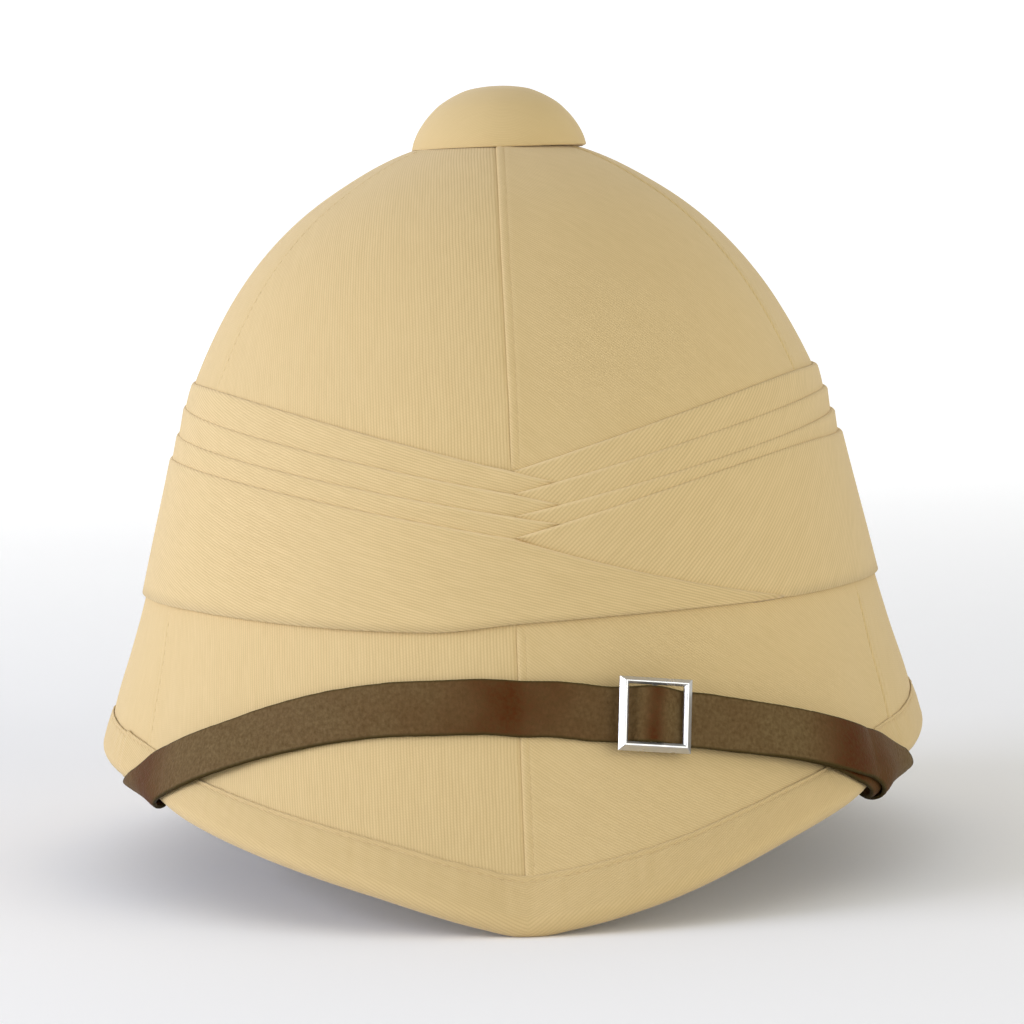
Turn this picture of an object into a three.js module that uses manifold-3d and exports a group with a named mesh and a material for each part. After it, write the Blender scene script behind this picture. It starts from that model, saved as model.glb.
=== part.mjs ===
// Cloth-covered pith sun helmet, resting on the tip of its peak and on its back edge.
// Millimetres, Z up; the peak points to -Y and the wearer's left side is +X.
import * as THREE from "three";
import Module from "manifold-3d";

// Shell: moulded wall, and the reach of its outside to side, front and back at each crown level from the apex
const WALL = 5;
const CROWN = [
  { height: 209.3, side: 0, front: 0, back: 0 },
  { height: 204.3, side: 25.4, front: 26.4, back: 26.8 },
  { height: 193.6, side: 46.6, front: 50.0, back: 52.0 },
  { height: 180.3, side: 63.3, front: 69.0, back: 72.5 },
  { height: 162.6, side: 77.9, front: 86.0, back: 90.5 },
  { height: 140.4, side: 89.7, front: 100.5, back: 106.0 },
  { height: 124.0, side: 94.2, front: 107.5, back: 113.5 },
  { height: 108.0, side: 98.6, front: 112.5, back: 119.0 },
  { height: 91.0, side: 103.4, front: 116.8, back: 124.0 },
  { height: 74.0, side: 108.2, front: 121.5, back: 129.5 },
];

// Brim levels below the waist: share of the drop from the waist to the rim, and reach
const BRIM = [
  { drop: 0.32, side: 111.6, front: 129.0, back: 138.5 },
  { drop: 0.66, side: 115.6, front: 140.5, back: 151.5 },
  { drop: 1.0, side: 118.6, front: 155.5, back: 166.5 },
];

// Rim round one half, 0 at the tip of the peak and 180 at the back: its height,
// and how far the hand-formed edge hangs lower on the +X side and higher on the other
const RIM = [
  { azimuth: 0, height: 3.2, lean: 0 },
  { azimuth: 6, height: 5.3, lean: 0.5 },
  { azimuth: 12, height: 8.1, lean: 1.05 },
  { azimuth: 20, height: 12.3, lean: 1.35 },
  { azimuth: 37, height: 21.2, lean: 0.25 },
  { azimuth: 50, height: 26.7, lean: 0 },
  { azimuth: 66, height: 31.8, lean: -0.4 },
  { azimuth: 90, height: 35.4, lean: -0.4 },
  { azimuth: 114, height: 29.3, lean: 0 },
  { azimuth: 135, height: 17.5, lean: 0 },
  { azimuth: 152, height: 6.6, lean: 0 },
  { azimuth: 163, height: 3.2, lean: 0 },
  { azimuth: 180, height: 3.2, lean: 0 },
];

// Rim drawn in under the strap on each side, and out a little beside it on the wearer's right:
// the middle of the place, its reach in degrees, and the depth
const RIM_DRAWS = [
  { azimuth: -63, reach: 9, depth: 3 },
  { azimuth: -88, reach: 14, depth: -1.4 },
  { azimuth: 60, reach: 7, depth: 2.8 },
];

// Shell facets: columns round, levels down the outside and up the inside, shares of the round edge
const COLUMNS = 60;
const OUTER_LEVELS = [1, 1.7, 2.4, 3.1, 3.8, 4.5, 5.2, 6, 7, 8, 9, 9.75, 10.5, 11.25, 12];
const INNER_LEVELS = [12, 11, 10, 9, 7.5, 6, 4.5, 3, 1.5];
const EDGE_SHARES = [0.25, 0.5, 0.75];

// Crown button: dome on the apex by its rows from the top down, following the crown underneath
const BUTTON = { top: 223, lip: 24.9, clearance: 0.35, sides: 30 };
const BUTTON_DOME = [
  { radius: 9.6, height: 221.9 },
  { radius: 16.7, height: 218.2 },
  { radius: 21.5, height: 213.4 },
  { radius: 24.3, height: 209.2 },
  { radius: 25.6, height: 205.3 },
];
const BUTTON_UNDER_SHARES = [1, 0.66, 0.33];

// Pugaree: height of each fold's top at front and side, the azimuth each side takes to rise, and the fall
// per degree of the end past the front; then each fold's lifts off the wall and the rows down its face
const FOLDS = [
  { name: "pugaree_fold_1", front: 116.6, side: 139.0, leftRise: 68, rightRise: 78, tail: 0.5 },
  { name: "pugaree_fold_2", front: 110.5, side: 132.2, leftRise: 76, rightRise: 95, tail: 0.45 },
  { name: "pugaree_fold_3", front: 104.5, side: 124.0, leftRise: 70, rightRise: 92, tail: 0.35 },
  { name: "pugaree_band", front: 98.4, side: 117.0, leftRise: 52, rightRise: 84, tail: 0.58 },
];
const FOLD_LAYERS = [
  { shoulder: 1.4, hem: 1.4, rows: 1 },
  { shoulder: 1.9, hem: 1.7, rows: 1 },
  { shoulder: 2.3, hem: 1.8, rows: 1 },
  { shoulder: 2.7, hem: 1.4, rows: 3 },
];
const PUGAREE_LOW = [
  { azimuth: -180, height: 77.5 },
  { azimuth: -60, height: 77.8 },
  { azimuth: -12, height: 74.5 },
  { azimuth: 20, height: 77.0 },
  { azimuth: 60, height: 77.6 },
  { azimuth: 180, height: 77.5 },
];

// Fold cloth: gap to the next fold, least height, drop of the shoulder with its most share of the height,
// share of the drop where the back starts, and share of the shoulder's lift at the nose
const FOLD_CLOTH = { gap: 0.3, least: 0.5 };
const FOLD_SHOULDER = { drop: 0.8, mostShare: 0.4, backShare: 0.2, noseShare: 0.55 };

// Fold steps in degrees: fine within reach of the front, coarse round the back, and the lapped end
const FOLD_STEPS = { reach: 8, fine: 1.6, coarse: 8, lap: 40 };

// Binding: cloth strip folded over the rim
const BINDING = { cloth: 1.0, gap: 0.3, sideWidth: 9.2, frontExtra: 3.0, insideWidth: 9 };

// Strap: leather section, gap to what it lies on, extra lift off the hollow wall, and steps along it
const SEAT_GAP = 0.4;
const STRAP = { width: 15, leather: 1.3, insideLift: 0.25, across: 5 };
const STRAP_STEPS = { fine: 3, coarse: 13, nearRim: 19, nearBuckle: 16 };

// Stretch past each edge of the binding over which the strap comes down to the wall
const STRAP_DESCENT = { from: 0.5, outside: 24, inside: 7 };

// Strap line on the wall: azimuth, distance up from the rim, below 0 when inside, and how many degrees
// the flat leather stands off the wall there, turned about its lower edge
const STRAP_LINE = [
  { azimuth: -89, along: -48, tilt: 0 },
  { azimuth: -80, along: -31, tilt: 0 },
  { azimuth: -71, along: -15, tilt: 0 },
  { azimuth: -60.8, along: 0.5, tilt: 3 },
  { azimuth: -54, along: 8.9, tilt: 4 },
  { azimuth: -44, along: 21.9, tilt: 2 },
  { azimuth: -36.5, along: 31.6, tilt: 0 },
  { azimuth: -25.5, along: 43.2, tilt: 0 },
  { azimuth: -12, along: 53.3, tilt: 0 },
  { azimuth: 0, along: 58.4, tilt: 3 },
  { azimuth: 13, along: 51.2, tilt: 12 },
  { azimuth: 24, along: 41.4, tilt: 12.5 },
  { azimuth: 28, along: 36.9, tilt: 12.5 },
  { azimuth: 41, along: 21.3, tilt: 10 },
  { azimuth: 50, along: 9.9, tilt: 9 },
  { azimuth: 57.6, along: 0.5, tilt: 7 },
  { azimuth: 67.5, along: -15, tilt: 0 },
  { azimuth: 78, along: -31, tilt: 0 },
  { azimuth: 88, along: -48, tilt: 0 },
];
const MM_PER_DEGREE = 2.1;

// Buckle: its azimuth on the strap, how far it sits up and turns on it, outside size, levels of its bars,
// side bars and end bars, their bevels, and the round centre bar
const BUCKLE = { azimuth: 17.8, raise: 0.3, turn: 1, width: 20.2, height: 19.8, low: 3.9, high: 5.8 };
const BUCKLE_BAR = { side: 2.4, end: 1.8 };
const BUCKLE_BEVEL = { outerShare: 0.62, outerDrop: 1.4, innerShare: 0.28, innerDrop: 0.7 };
const BUCKLE_PIN = { radius: 0.8, level: 3.4, sides: 10, strapOver: 4.1 };

// Strap through the buckle: where it starts to climb, half of its level stretch, where it is down again
const BUCKLE_CLIMB = { start: 13.5, level: 0.8, end: 7 };

// Second strap layer: gap between the layers, tuck up behind the first, and its slip down past the buckle
const LAYER = { gap: 0.6, start: 1.5, tuck: 0.4, slip: 2.2, slipFrom: 62, slipTo: 88 };

// Rivets through the strap ends: distance from the end, shank and its hole, and low domed head
const STUD = { inset: 7, shank: 1.5, depth: 3, seat: 0.45 };
const STUD_HOLE = { radius: 1.8, top: 12 };
const STUD_HEAD = { radius: 4.5, rim: 0.6, crownRadius: 2.7, crown: 1.5, tip: 1.7 };

// Slab under the floor that flattens the binding
const FLOOR_SLAB = { top: -1.5, reach: 300, depth: 20 };

const DEG = Math.PI / 180;
const { clamp, smoothstep } = THREE.MathUtils;
const kernel = await Module();
kernel.setup();

const LEVELS = [...CROWN, ...BRIM];
const WAIST = CROWN.at(-1).height;
const RIM_LEVEL = LEVELS.length - 1;
const SHELL_EDGE = Math.PI * (WALL / 2);
const BINDING_LIFT = BINDING.gap + BINDING.cloth;
const STRAP_TURN = WALL / 2 + BINDING_LIFT + SEAT_GAP + STRAP.leather / 2;
const STRAP_EDGE = Math.PI * STRAP_TURN;

const turn = (count) => Array.from({ length: count }, (_, i) => (i * 2 * Math.PI) / count);

// Smooth curve through points, level at its start or end where that is asked for
function curve(xs, ys, levelStart = false, levelEnd = false) {
  const last = xs.length - 1;
  const slopes = xs.map((x, i) => {
    if ((i === 0 && levelStart) || (i === last && levelEnd)) return 0;
    const before = Math.max(i - 1, 0);
    const after = Math.min(i + 1, last);
    return (ys[after] - ys[before]) / (xs[after] - xs[before]);
  });
  return (x) => {
    let i = 0;
    while (i < last - 1 && x > xs[i + 1]) i += 1;
    const span = xs[i + 1] - xs[i];
    const t = (x - xs[i]) / span;
    const s = 1 - t;
    return (
      ys[i] * s * s * (1 + 2 * t) +
      ys[i + 1] * t * t * (1 + 2 * s) +
      slopes[i] * span * t * s * s -
      slopes[i + 1] * span * t * t * s
    );
  };
}

// Curve down the levels, and curve round the rows of a table with an azimuth column
const byLevel = (pick, levelStart = false) =>
  curve(LEVELS.map((row, index) => index), LEVELS.map(pick), levelStart);
const byAzimuth = (table, column, levelStart = true) =>
  curve(table.map((row) => row.azimuth), table.map((row) => row[column]), levelStart, true);

const sideReach = byLevel((row) => row.side);
const frontReach = byLevel((row) => row.front);
const backReach = byLevel((row) => row.back);
const plainHeight = byLevel((row) => row.height ?? WAIST * (1 - row.drop), true);
const rimShare = byLevel((row) => row.drop ?? 0);
const rimHeight = byAzimuth(RIM, "height");
const rimLean = byAzimuth(RIM, "lean", false);
const pugareeLow = byAzimuth(PUGAREE_LOW, "height");
const strapTilt = byAzimuth(STRAP_LINE, "tilt");

// How far the rim is drawn in at an azimuth in degrees
function rimDraw(degrees) {
  return RIM_DRAWS.reduce((sum, { azimuth, reach, depth }) => {
    return sum + depth * Math.exp(-(((degrees - azimuth) / reach) ** 2));
  }, 0);
}

// Point of the outside at an azimuth (0 front, 90 the wearer's left) and a level (0 apex)
function skin(azimuth, level) {
  const sine = Math.sin(azimuth);
  const cosine = Math.cos(azimuth);
  const degrees = Math.atan2(sine, cosine) / DEG;
  const fromFront = Math.abs(degrees);
  const reach = cosine >= 0 ? frontReach(level) : backReach(level);
  const share = rimShare(level);
  const rim = rimHeight(fromFront) - Math.sign(sine) * rimLean(fromFront);
  const drawn = rimDraw(degrees) * share;
  const x = (sideReach(level) - drawn) * sine;
  const y = -(reach - drawn) * cosine;
  return new THREE.Vector3(x, y, plainHeight(level) + share * rim);
}

// Directions of the wall there: out of the wall, and down towards the rim
function wallFrame(azimuth, level) {
  const step = 1e-3;
  const at = clamp(level, 0.02, RIM_LEVEL - step);
  const round = skin(azimuth + step, at).sub(skin(azimuth - step, at));
  const down = skin(azimuth, at + step).sub(skin(azimuth, at - step)).normalize();
  const out = new THREE.Vector3().crossVectors(down, round).normalize();
  return { out, down };
}

// Point lifted off the outside
function offSkin(azimuth, level, lift) {
  return skin(azimuth, level).addScaledVector(wallFrame(azimuth, level).out, lift);
}

// Level at a height of the crown
function levelAtHeight(azimuth, height) {
  let [upper, lower] = [0, RIM_LEVEL];
  for (let i = 0; i < 30; i += 1) {
    const middle = (upper + lower) / 2;
    if (skin(azimuth, middle).z > height) upper = middle;
    else lower = middle;
  }
  return lower;
}

// Level at a distance up the wall from the rim
function levelAtDistance(azimuth, distance) {
  const step = 0.1;
  let level = RIM_LEVEL;
  let left = distance;
  let here = skin(azimuth, level);
  while (left > 0 && level > 1) {
    const next = skin(azimuth, level - step);
    const length = next.distanceTo(here);
    level -= step * Math.min(1, left / length);
    left -= length;
    here = next;
  }
  return level;
}

// Point by its distance along the wall from the rim: up the outside when above 0, round the edge
// and then up the inside when below it; the turn radius is that of the layer measured
function onWall(azimuth, along, lift, turnRadius = WALL / 2) {
  const edge = Math.PI * turnRadius;
  if (along >= 0) return offSkin(azimuth, levelAtDistance(azimuth, along), lift);
  if (along <= -edge) return offSkin(azimuth, levelAtDistance(azimuth, -edge - along), -WALL - lift);
  const { out, down } = wallFrame(azimuth, RIM_LEVEL);
  const angle = -along / turnRadius;
  const radius = WALL / 2 + lift;
  return skin(azimuth, RIM_LEVEL)
    .addScaledVector(out, radius * Math.cos(angle) - WALL / 2)
    .addScaledVector(down, radius * Math.sin(angle));
}

// Closed solid from points and faces, with the faces pointing out
function solid(points, faces) {
  let volume = 0;
  for (const [a, b, c] of faces) {
    volume += points[a].dot(new THREE.Vector3().crossVectors(points[b], points[c]));
  }
  const outward = volume < 0 ? faces.map(([a, b, c]) => [a, c, b]) : faces;
  const geometry = new THREE.BufferGeometry().setFromPoints(points);
  return geometry.setIndex(outward.flat());
}

// Closed solid of rings between two poles
function domed(top, rings, bottom) {
  const count = rings[0].length;
  const points = [top, ...rings.flat(), bottom];
  const faces = [];
  const at = (ring, column) => 1 + ring * count + (column % count);
  for (let column = 0; column < count; column += 1) {
    faces.push([0, at(0, column), at(0, column + 1)]);
    for (let ring = 0; ring < rings.length - 1; ring += 1) {
      faces.push([at(ring, column), at(ring + 1, column), at(ring + 1, column + 1)]);
      faces.push([at(ring, column), at(ring + 1, column + 1), at(ring, column + 1)]);
    }
    faces.push([at(rings.length - 1, column), points.length - 1, at(rings.length - 1, column + 1)]);
  }
  return solid(points, faces);
}

// Solid swept through closed sections, joined into a ring or capped at its two ends
function swept(sections, ring) {
  const count = sections[0].length;
  const points = sections.flat();
  const faces = [];
  const spans = ring ? sections.length : sections.length - 1;
  for (let i = 0; i < spans; i += 1) {
    const here = i * count;
    const next = ((i + 1) % sections.length) * count;
    for (let j = 0; j < count; j += 1) {
      const k = (j + 1) % count;
      faces.push([here + j, next + j, next + k], [here + j, next + k, here + k]);
    }
  }
  for (const end of ring ? [] : [0, sections.length - 1]) {
    const middle = new THREE.Vector3();
    sections[end].forEach((point) => middle.addScaledVector(point, 1 / count));
    points.push(middle);
    for (let j = 0; j < count; j += 1) {
      const pair = [end * count + j, end * count + ((j + 1) % count)];
      faces.push([points.length - 1, ...(end === 0 ? pair : pair.reverse())]);
    }
  }
  return solid(points, faces);
}

// Round body on the out axis of a frame, from rows of radius and height, the first and last on the axis
function turnedBody(profile, frame, sides = 16) {
  const place = (radius, height, angle) =>
    frame.origin
      .clone()
      .addScaledVector(frame.across, radius * Math.cos(angle))
      .addScaledVector(frame.along, radius * Math.sin(angle))
      .addScaledVector(frame.out, height);
  const ringRows = profile.slice(1, -1);
  const rings = ringRows.map((row) => turn(sides).map((angle) => place(row.radius, row.height, angle)));
  return domed(place(0, profile[0].height, 0), rings, place(0, profile.at(-1).height, 0));
}

// Cutting and joining of solids
function toKernel(geometry) {
  const mesh = new kernel.Mesh({
    numProp: 3,
    vertProperties: new Float32Array(geometry.getAttribute("position").array),
    triVerts: new Uint32Array(geometry.index.array),
  });
  return new kernel.Manifold(mesh);
}

function fromKernel(manifold) {
  const mesh = manifold.getMesh();
  const geometry = new THREE.BufferGeometry();
  geometry.setAttribute("position", new THREE.BufferAttribute(mesh.vertProperties, 3));
  return geometry.setIndex(Array.from(mesh.triVerts));
}

function cut(body, ...tools) {
  return fromKernel(tools.reduce((left, tool) => left.subtract(toKernel(tool)), toKernel(body)));
}

function join(body, other) {
  return fromKernel(toKernel(body).add(toKernel(other)));
}

// Shell: crown and brim in one wall with a rounded edge
const columns = turn(COLUMNS);
const shellBody = domed(
  skin(0, 0),
  [
    ...OUTER_LEVELS.map((level) => columns.map((azimuth) => offSkin(azimuth, level, 0))),
    ...EDGE_SHARES.map((share) => columns.map((azimuth) => onWall(azimuth, -share * SHELL_EDGE, 0))),
    ...INNER_LEVELS.map((level) => columns.map((azimuth) => offSkin(azimuth, level, -WALL))),
  ],
  skin(0, 0).setZ(CROWN[0].height - WALL),
);

// Height of the crown over a point near its apex
function crownHeightOver(x, y) {
  let [inner, outer] = [0, 4];
  for (let i = 0; i < 30; i += 1) {
    const middle = (inner + outer) / 2;
    const reach = y < 0 ? frontReach(middle) : backReach(middle);
    if (Math.hypot(x / sideReach(middle), y / reach) > 1) inner = middle;
    else outer = middle;
  }
  return plainHeight(outer);
}

// Crown button: dome above, the crown's own curve below
function buttonRing(radius, height) {
  return turn(BUTTON.sides).map((angle) => {
    const [x, y] = [radius * Math.sin(angle), -radius * Math.cos(angle)];
    return new THREE.Vector3(x, y, height ?? crownHeightOver(x, y) + BUTTON.clearance);
  });
}

const buttonDome = BUTTON_DOME.map((row) => buttonRing(row.radius, row.height));
const buttonUnder = BUTTON_UNDER_SHARES.map((share) => buttonRing(BUTTON.lip * share));
const crownButton = domed(
  new THREE.Vector3(0, 0, BUTTON.top),
  [...buttonDome, ...buttonUnder],
  new THREE.Vector3(0, 0, CROWN[0].height + BUTTON.clearance),
);

// Top line of a fold on one side; the ends cross at the front, where each side's line falls away
function foldTop(index, degrees, side) {
  if (index >= FOLDS.length) return pugareeLow(degrees);
  const fold = FOLDS[index];
  const away = side === "left" ? degrees : -degrees;
  if (away < 0) return fold.front + fold.tail * away;
  const rise = side === "left" ? fold.leftRise : fold.rightRise;
  return fold.front + (fold.side - fold.front) * Math.sin((Math.PI / 2) * Math.min(1, away / rise));
}

// Lower line: the folds wound later cover it, each right end lying over its left end
function foldLow(index, degrees, side) {
  const nextLeft = foldTop(index + 1, degrees, "left");
  const cover = foldTop(side === "left" ? index : index + 1, degrees, "right");
  return Math.max(nextLeft, cover);
}

// Section of a fold: rounded nose and shoulder, thinning to the hem, with a flat back
function foldSection(index, degrees, side) {
  const azimuth = degrees * DEG;
  const { gap, least } = FOLD_CLOTH;
  const { shoulder, hem, rows } = FOLD_LAYERS[index];
  const covered = index < FOLDS.length - 1 || side === "left";
  const top = foldTop(index, degrees, side);
  const height = top - foldLow(index, degrees, side) - (covered ? gap : 0);
  if (height < least) return null;
  const drop = Math.min(FOLD_SHOULDER.drop, FOLD_SHOULDER.mostShare * height);
  const place = (level, lift) => offSkin(azimuth, levelAtHeight(azimuth, level), lift);
  const shares = Array.from({ length: rows }, (_, i) => (i + 1) / rows);
  const outside = shares.map((share) =>
    place(top - drop - share * (height - drop), shoulder + (hem - shoulder) * share),
  );
  const inside = shares.map((share) => place(top - share * height, SEAT_GAP)).reverse();
  const back = place(top - FOLD_SHOULDER.backShare * drop, SEAT_GAP);
  const nose = place(top, FOLD_SHOULDER.noseShare * shoulder);
  return [back, nose, place(top - drop, shoulder), ...outside, ...inside];
}

// One fold: from its left end at the front, round the back, to its right end lapped over it
function pugareeFold(index) {
  const { reach, fine, coarse, lap } = FOLD_STEPS;
  const near = [];
  for (let d = -reach; d < reach; d += fine) near.push(d);
  const far = [];
  for (let d = reach; d < 180; d += coarse) far.push(d);
  const lapped = far.filter((d) => d <= lap);
  const sections = [
    ...[...near, ...far].map((d) => foldSection(index, d, "left")),
    ...[180, ...far.toReversed()].map((d) => foldSection(index, -d, "right")),
    ...[...near, ...lapped].map((d) => foldSection(index, d, "right")),
  ];
  return swept(sections.filter((section) => section !== null), false);
}

// Binding: strip folded over the rim, pressed flat where the helmet stands
const bindingWidth = (azimuth) => BINDING.sideWidth + BINDING.frontExtra * Math.abs(Math.cos(azimuth)) ** 3;

function bindingSection(azimuth) {
  const stations = [
    bindingWidth(azimuth),
    0,
    ...EDGE_SHARES.map((share) => -share * SHELL_EDGE),
    -SHELL_EDGE,
    -SHELL_EDGE - BINDING.insideWidth,
  ];
  const outside = stations.map((along) => onWall(azimuth, along, BINDING_LIFT));
  const inside = stations.map((along) => onWall(azimuth, along, BINDING.gap));
  return [...outside, ...inside.reverse()];
}

const slabCorner = (angle) => new THREE.Vector3(Math.cos(angle), Math.sin(angle), 0);
const slabRing = (height) =>
  turn(4).map((angle) => slabCorner(angle).multiplyScalar(FLOOR_SLAB.reach).setZ(height));
const floorSlab = swept([slabRing(FLOOR_SLAB.top), slabRing(FLOOR_SLAB.top - FLOOR_SLAB.depth)], false);
const brimBinding = cut(swept(columns.map(bindingSection), true), floorSlab);

// Strap line as a smooth curve over the unrolled wall
const strapLine = new THREE.CatmullRomCurve3(
  STRAP_LINE.map((row) => new THREE.Vector3(row.azimuth * MM_PER_DEGREE, row.along, 0)),
);
strapLine.arcLengthDivisions = 800;
const strapLength = strapLine.getLength();

// Place on the strap line: position, and the step in azimuth and distance for one millimetre across
function strapPlace(distance) {
  const share = clamp(distance / strapLength, 0, 1);
  const at = strapLine.getPointAt(share);
  const ahead2d = strapLine.getTangentAt(share);
  const azimuth = (at.x / MM_PER_DEGREE) * DEG;
  const along = at.y;
  const wall = (angle, up) => onWall(angle, up, STRAP_TURN - WALL / 2, STRAP_TURN);
  const [turnStep, upStep] = [1e-3, 0.05];
  const perRadian = wall(azimuth + turnStep, along).sub(wall(azimuth - turnStep, along));
  perRadian.divideScalar(2 * turnStep);
  const perAlong = wall(azimuth, along + upStep).sub(wall(azimuth, along - upStep));
  perAlong.divideScalar(2 * upStep);
  const ahead = perRadian.clone().multiplyScalar((ahead2d.x / MM_PER_DEGREE) * DEG);
  ahead.addScaledVector(perAlong, ahead2d.y);
  const out = new THREE.Vector3().crossVectors(perRadian, perAlong).normalize();
  const across = new THREE.Vector3().crossVectors(out, ahead).normalize();
  const [e, f, g] = [perRadian.dot(perRadian), perRadian.dot(perAlong), perAlong.dot(perAlong)];
  const [p, q] = [across.dot(perRadian), across.dot(perAlong)];
  const area = e * g - f * f;
  return {
    azimuth,
    along,
    tilt: strapTilt(at.x / MM_PER_DEGREE) * DEG,
    acrossAzimuth: (g * p - f * q) / area,
    acrossAlong: (e * q - f * p) / area,
    frame: { origin: onWall(azimuth, along, 0, STRAP_TURN), out, across, along: ahead.normalize() },
  };
}

// Lift that carries the leather over the binding, and off the hollow wall inside
function bindingLift(azimuth, along) {
  const outerEdge = bindingWidth(azimuth);
  const innerEdge = STRAP_EDGE + BINDING.insideWidth;
  const { from, outside, inside } = STRAP_DESCENT;
  const offOutside = smoothstep(along, outerEdge + from, outerEdge + outside);
  const offInside = smoothstep(-along, innerEdge + from, innerEdge + inside);
  const over = (BINDING_LIFT + STRAP.insideLift) * (1 - offOutside) * (1 - offInside);
  return over + STRAP.insideLift * offInside;
}

// Offset across the wall and lift off it, for a side and level on the strap turned about its lower edge
function tilted(side, level, tilt) {
  const fromEdge = side + STRAP.width / 2;
  return {
    offset: fromEdge * Math.cos(tilt) - level * Math.sin(tilt) - STRAP.width / 2,
    lift: fromEdge * Math.sin(tilt) + level * Math.cos(tilt),
  };
}

// Distance along the strap to the buckle
let buckleDistance = 0;
while (strapPlace(buckleDistance).azimuth < BUCKLE.azimuth * DEG) buckleDistance += 0.25;

// Stations along the strap, close together round the rim and through the buckle
const strapStations = [];
for (let distance = 0; distance < strapLength - 1; ) {
  strapStations.push(distance);
  const nearRim = Math.abs(strapPlace(distance).along + STRAP_EDGE / 2) < STRAP_STEPS.nearRim;
  const nearBuckle = Math.abs(distance - buckleDistance) < STRAP_STEPS.nearBuckle;
  distance += nearRim || nearBuckle ? STRAP_STEPS.fine : STRAP_STEPS.coarse;
}
strapStations.push(strapLength);

// Leather ribbon from a distance to the strap's end, lifted and shifted across by functions of the distance
function ribbon(from, liftAt, shiftAt) {
  const sections = [from, ...strapStations.filter((d) => d > from + 1)].map((d) => {
    const place = strapPlace(d);
    const row = (level) =>
      Array.from({ length: STRAP.across + 1 }, (_, i) => {
        const side = STRAP.width * (i / STRAP.across - 0.5) + shiftAt(d);
        const { offset, lift } = tilted(side, level, place.tilt);
        const azimuth = place.azimuth + place.acrossAzimuth * offset;
        const along = place.along + place.acrossAlong * offset;
        return onWall(azimuth, along, bindingLift(azimuth, along) + lift, STRAP_TURN);
      });
    const under = SEAT_GAP + liftAt(d);
    return [...row(under), ...row(under + STRAP.leather).reverse()];
  });
  return swept(sections, false);
}

// Way of the strap through the buckle: under the side bars, over the centre bar, then on the second layer
const layerStep = STRAP.leather + LAYER.gap;
function strapLift(distance) {
  const past = distance - buckleDistance;
  const { start, level, end } = BUCKLE_CLIMB;
  if (past < 0) return BUCKLE_PIN.strapOver * smoothstep(past, -start, -level);
  return BUCKLE_PIN.strapOver - (BUCKLE_PIN.strapOver - layerStep) * smoothstep(past, level, end);
}

function underShift(distance) {
  const { tuck, slip, slipFrom, slipTo } = LAYER;
  return tuck - (tuck + slip) * smoothstep(distance - buckleDistance, slipFrom, slipTo);
}

const strapBody = ribbon(0, strapLift, () => 0);
const underBody = ribbon(buckleDistance + LAYER.start, () => 0, underShift);

// Rivet at a strap end, and the hole that it sits in
function stud(distance, leather) {
  const { frame } = strapPlace(distance);
  const { shank, depth, seat } = STUD;
  const { radius, rim, crownRadius, crown, tip } = STUD_HEAD;
  const under = SEAT_GAP + STRAP.insideLift + leather + seat;
  const body = turnedBody(
    [
      { radius: 0, height: -depth },
      { radius: shank, height: -depth },
      { radius: shank, height: under },
      { radius, height: under },
      { radius, height: under + rim },
      { radius: crownRadius, height: under + crown },
      { radius: 0, height: under + tip },
    ],
    frame,
  );
  const drill = turnedBody(
    [
      { radius: 0, height: -depth - SEAT_GAP },
      { radius: STUD_HOLE.radius, height: -depth - SEAT_GAP },
      { radius: STUD_HOLE.radius, height: STUD_HOLE.top },
      { radius: 0, height: STUD_HOLE.top },
    ],
    frame,
  );
  return { body, drill };
}

const studRight = stud(STUD.inset, STRAP.leather);
const studLeft = stud(strapLength - STUD.inset, STRAP.leather + layerStep);

// Buckle: bevelled frame with a round centre bar, in the plane of the strap and turned a little on it
function buckleBody() {
  const { frame, tilt } = strapPlace(buckleDistance);
  const { raise, width, height, low, high } = BUCKLE;
  const spin = BUCKLE.turn * DEG;
  const place = (x, y, level) => {
    const ahead = x * Math.cos(spin) - y * Math.sin(spin);
    const side = x * Math.sin(spin) + y * Math.cos(spin) + raise;
    const { offset, lift } = tilted(side, level, tilt);
    return frame.origin
      .clone()
      .addScaledVector(frame.along, ahead)
      .addScaledVector(frame.across, offset)
      .addScaledVector(frame.out, lift);
  };
  const { side, end } = BUCKLE_BAR;
  const { outerShare, outerDrop, innerShare, innerDrop } = BUCKLE_BEVEL;
  const profile = [
    { share: 0, level: low },
    { share: 0, level: high - outerDrop },
    { share: outerShare, level: high },
    { share: 1 - innerShare, level: high },
    { share: 1, level: high - innerDrop },
    { share: 1, level: low },
  ];
  const corners = [[-1, -1], [1, -1], [1, 1], [-1, 1]];
  const sections = corners.map(([sx, sy]) =>
    profile.map(({ share, level }) =>
      place(sx * (width / 2 - share * side), sy * (height / 2 - share * end), level),
    ),
  );
  const pinEnd = (sign) =>
    turn(BUCKLE_PIN.sides).map((angle) => {
      const x = BUCKLE_PIN.radius * Math.cos(angle);
      const level = BUCKLE_PIN.level + BUCKLE_PIN.radius * Math.sin(angle);
      return place(x, sign * (height / 2 - end / 2), level);
    });
  return join(swept(sections, true), swept([pinEnd(-1), pinEnd(1)], false));
}

// Pieces with their materials
const cloth = (color) => new THREE.MeshStandardMaterial({ color, roughness: 0.9 });
const leather = new THREE.MeshStandardMaterial({ color: 0x4b2f24, roughness: 0.55 });
const nickel = new THREE.MeshStandardMaterial({ color: 0xc9c6c0, roughness: 0.25, metalness: 1 });
const brass = new THREE.MeshStandardMaterial({ color: 0x8d7746, roughness: 0.4, metalness: 1 });

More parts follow.
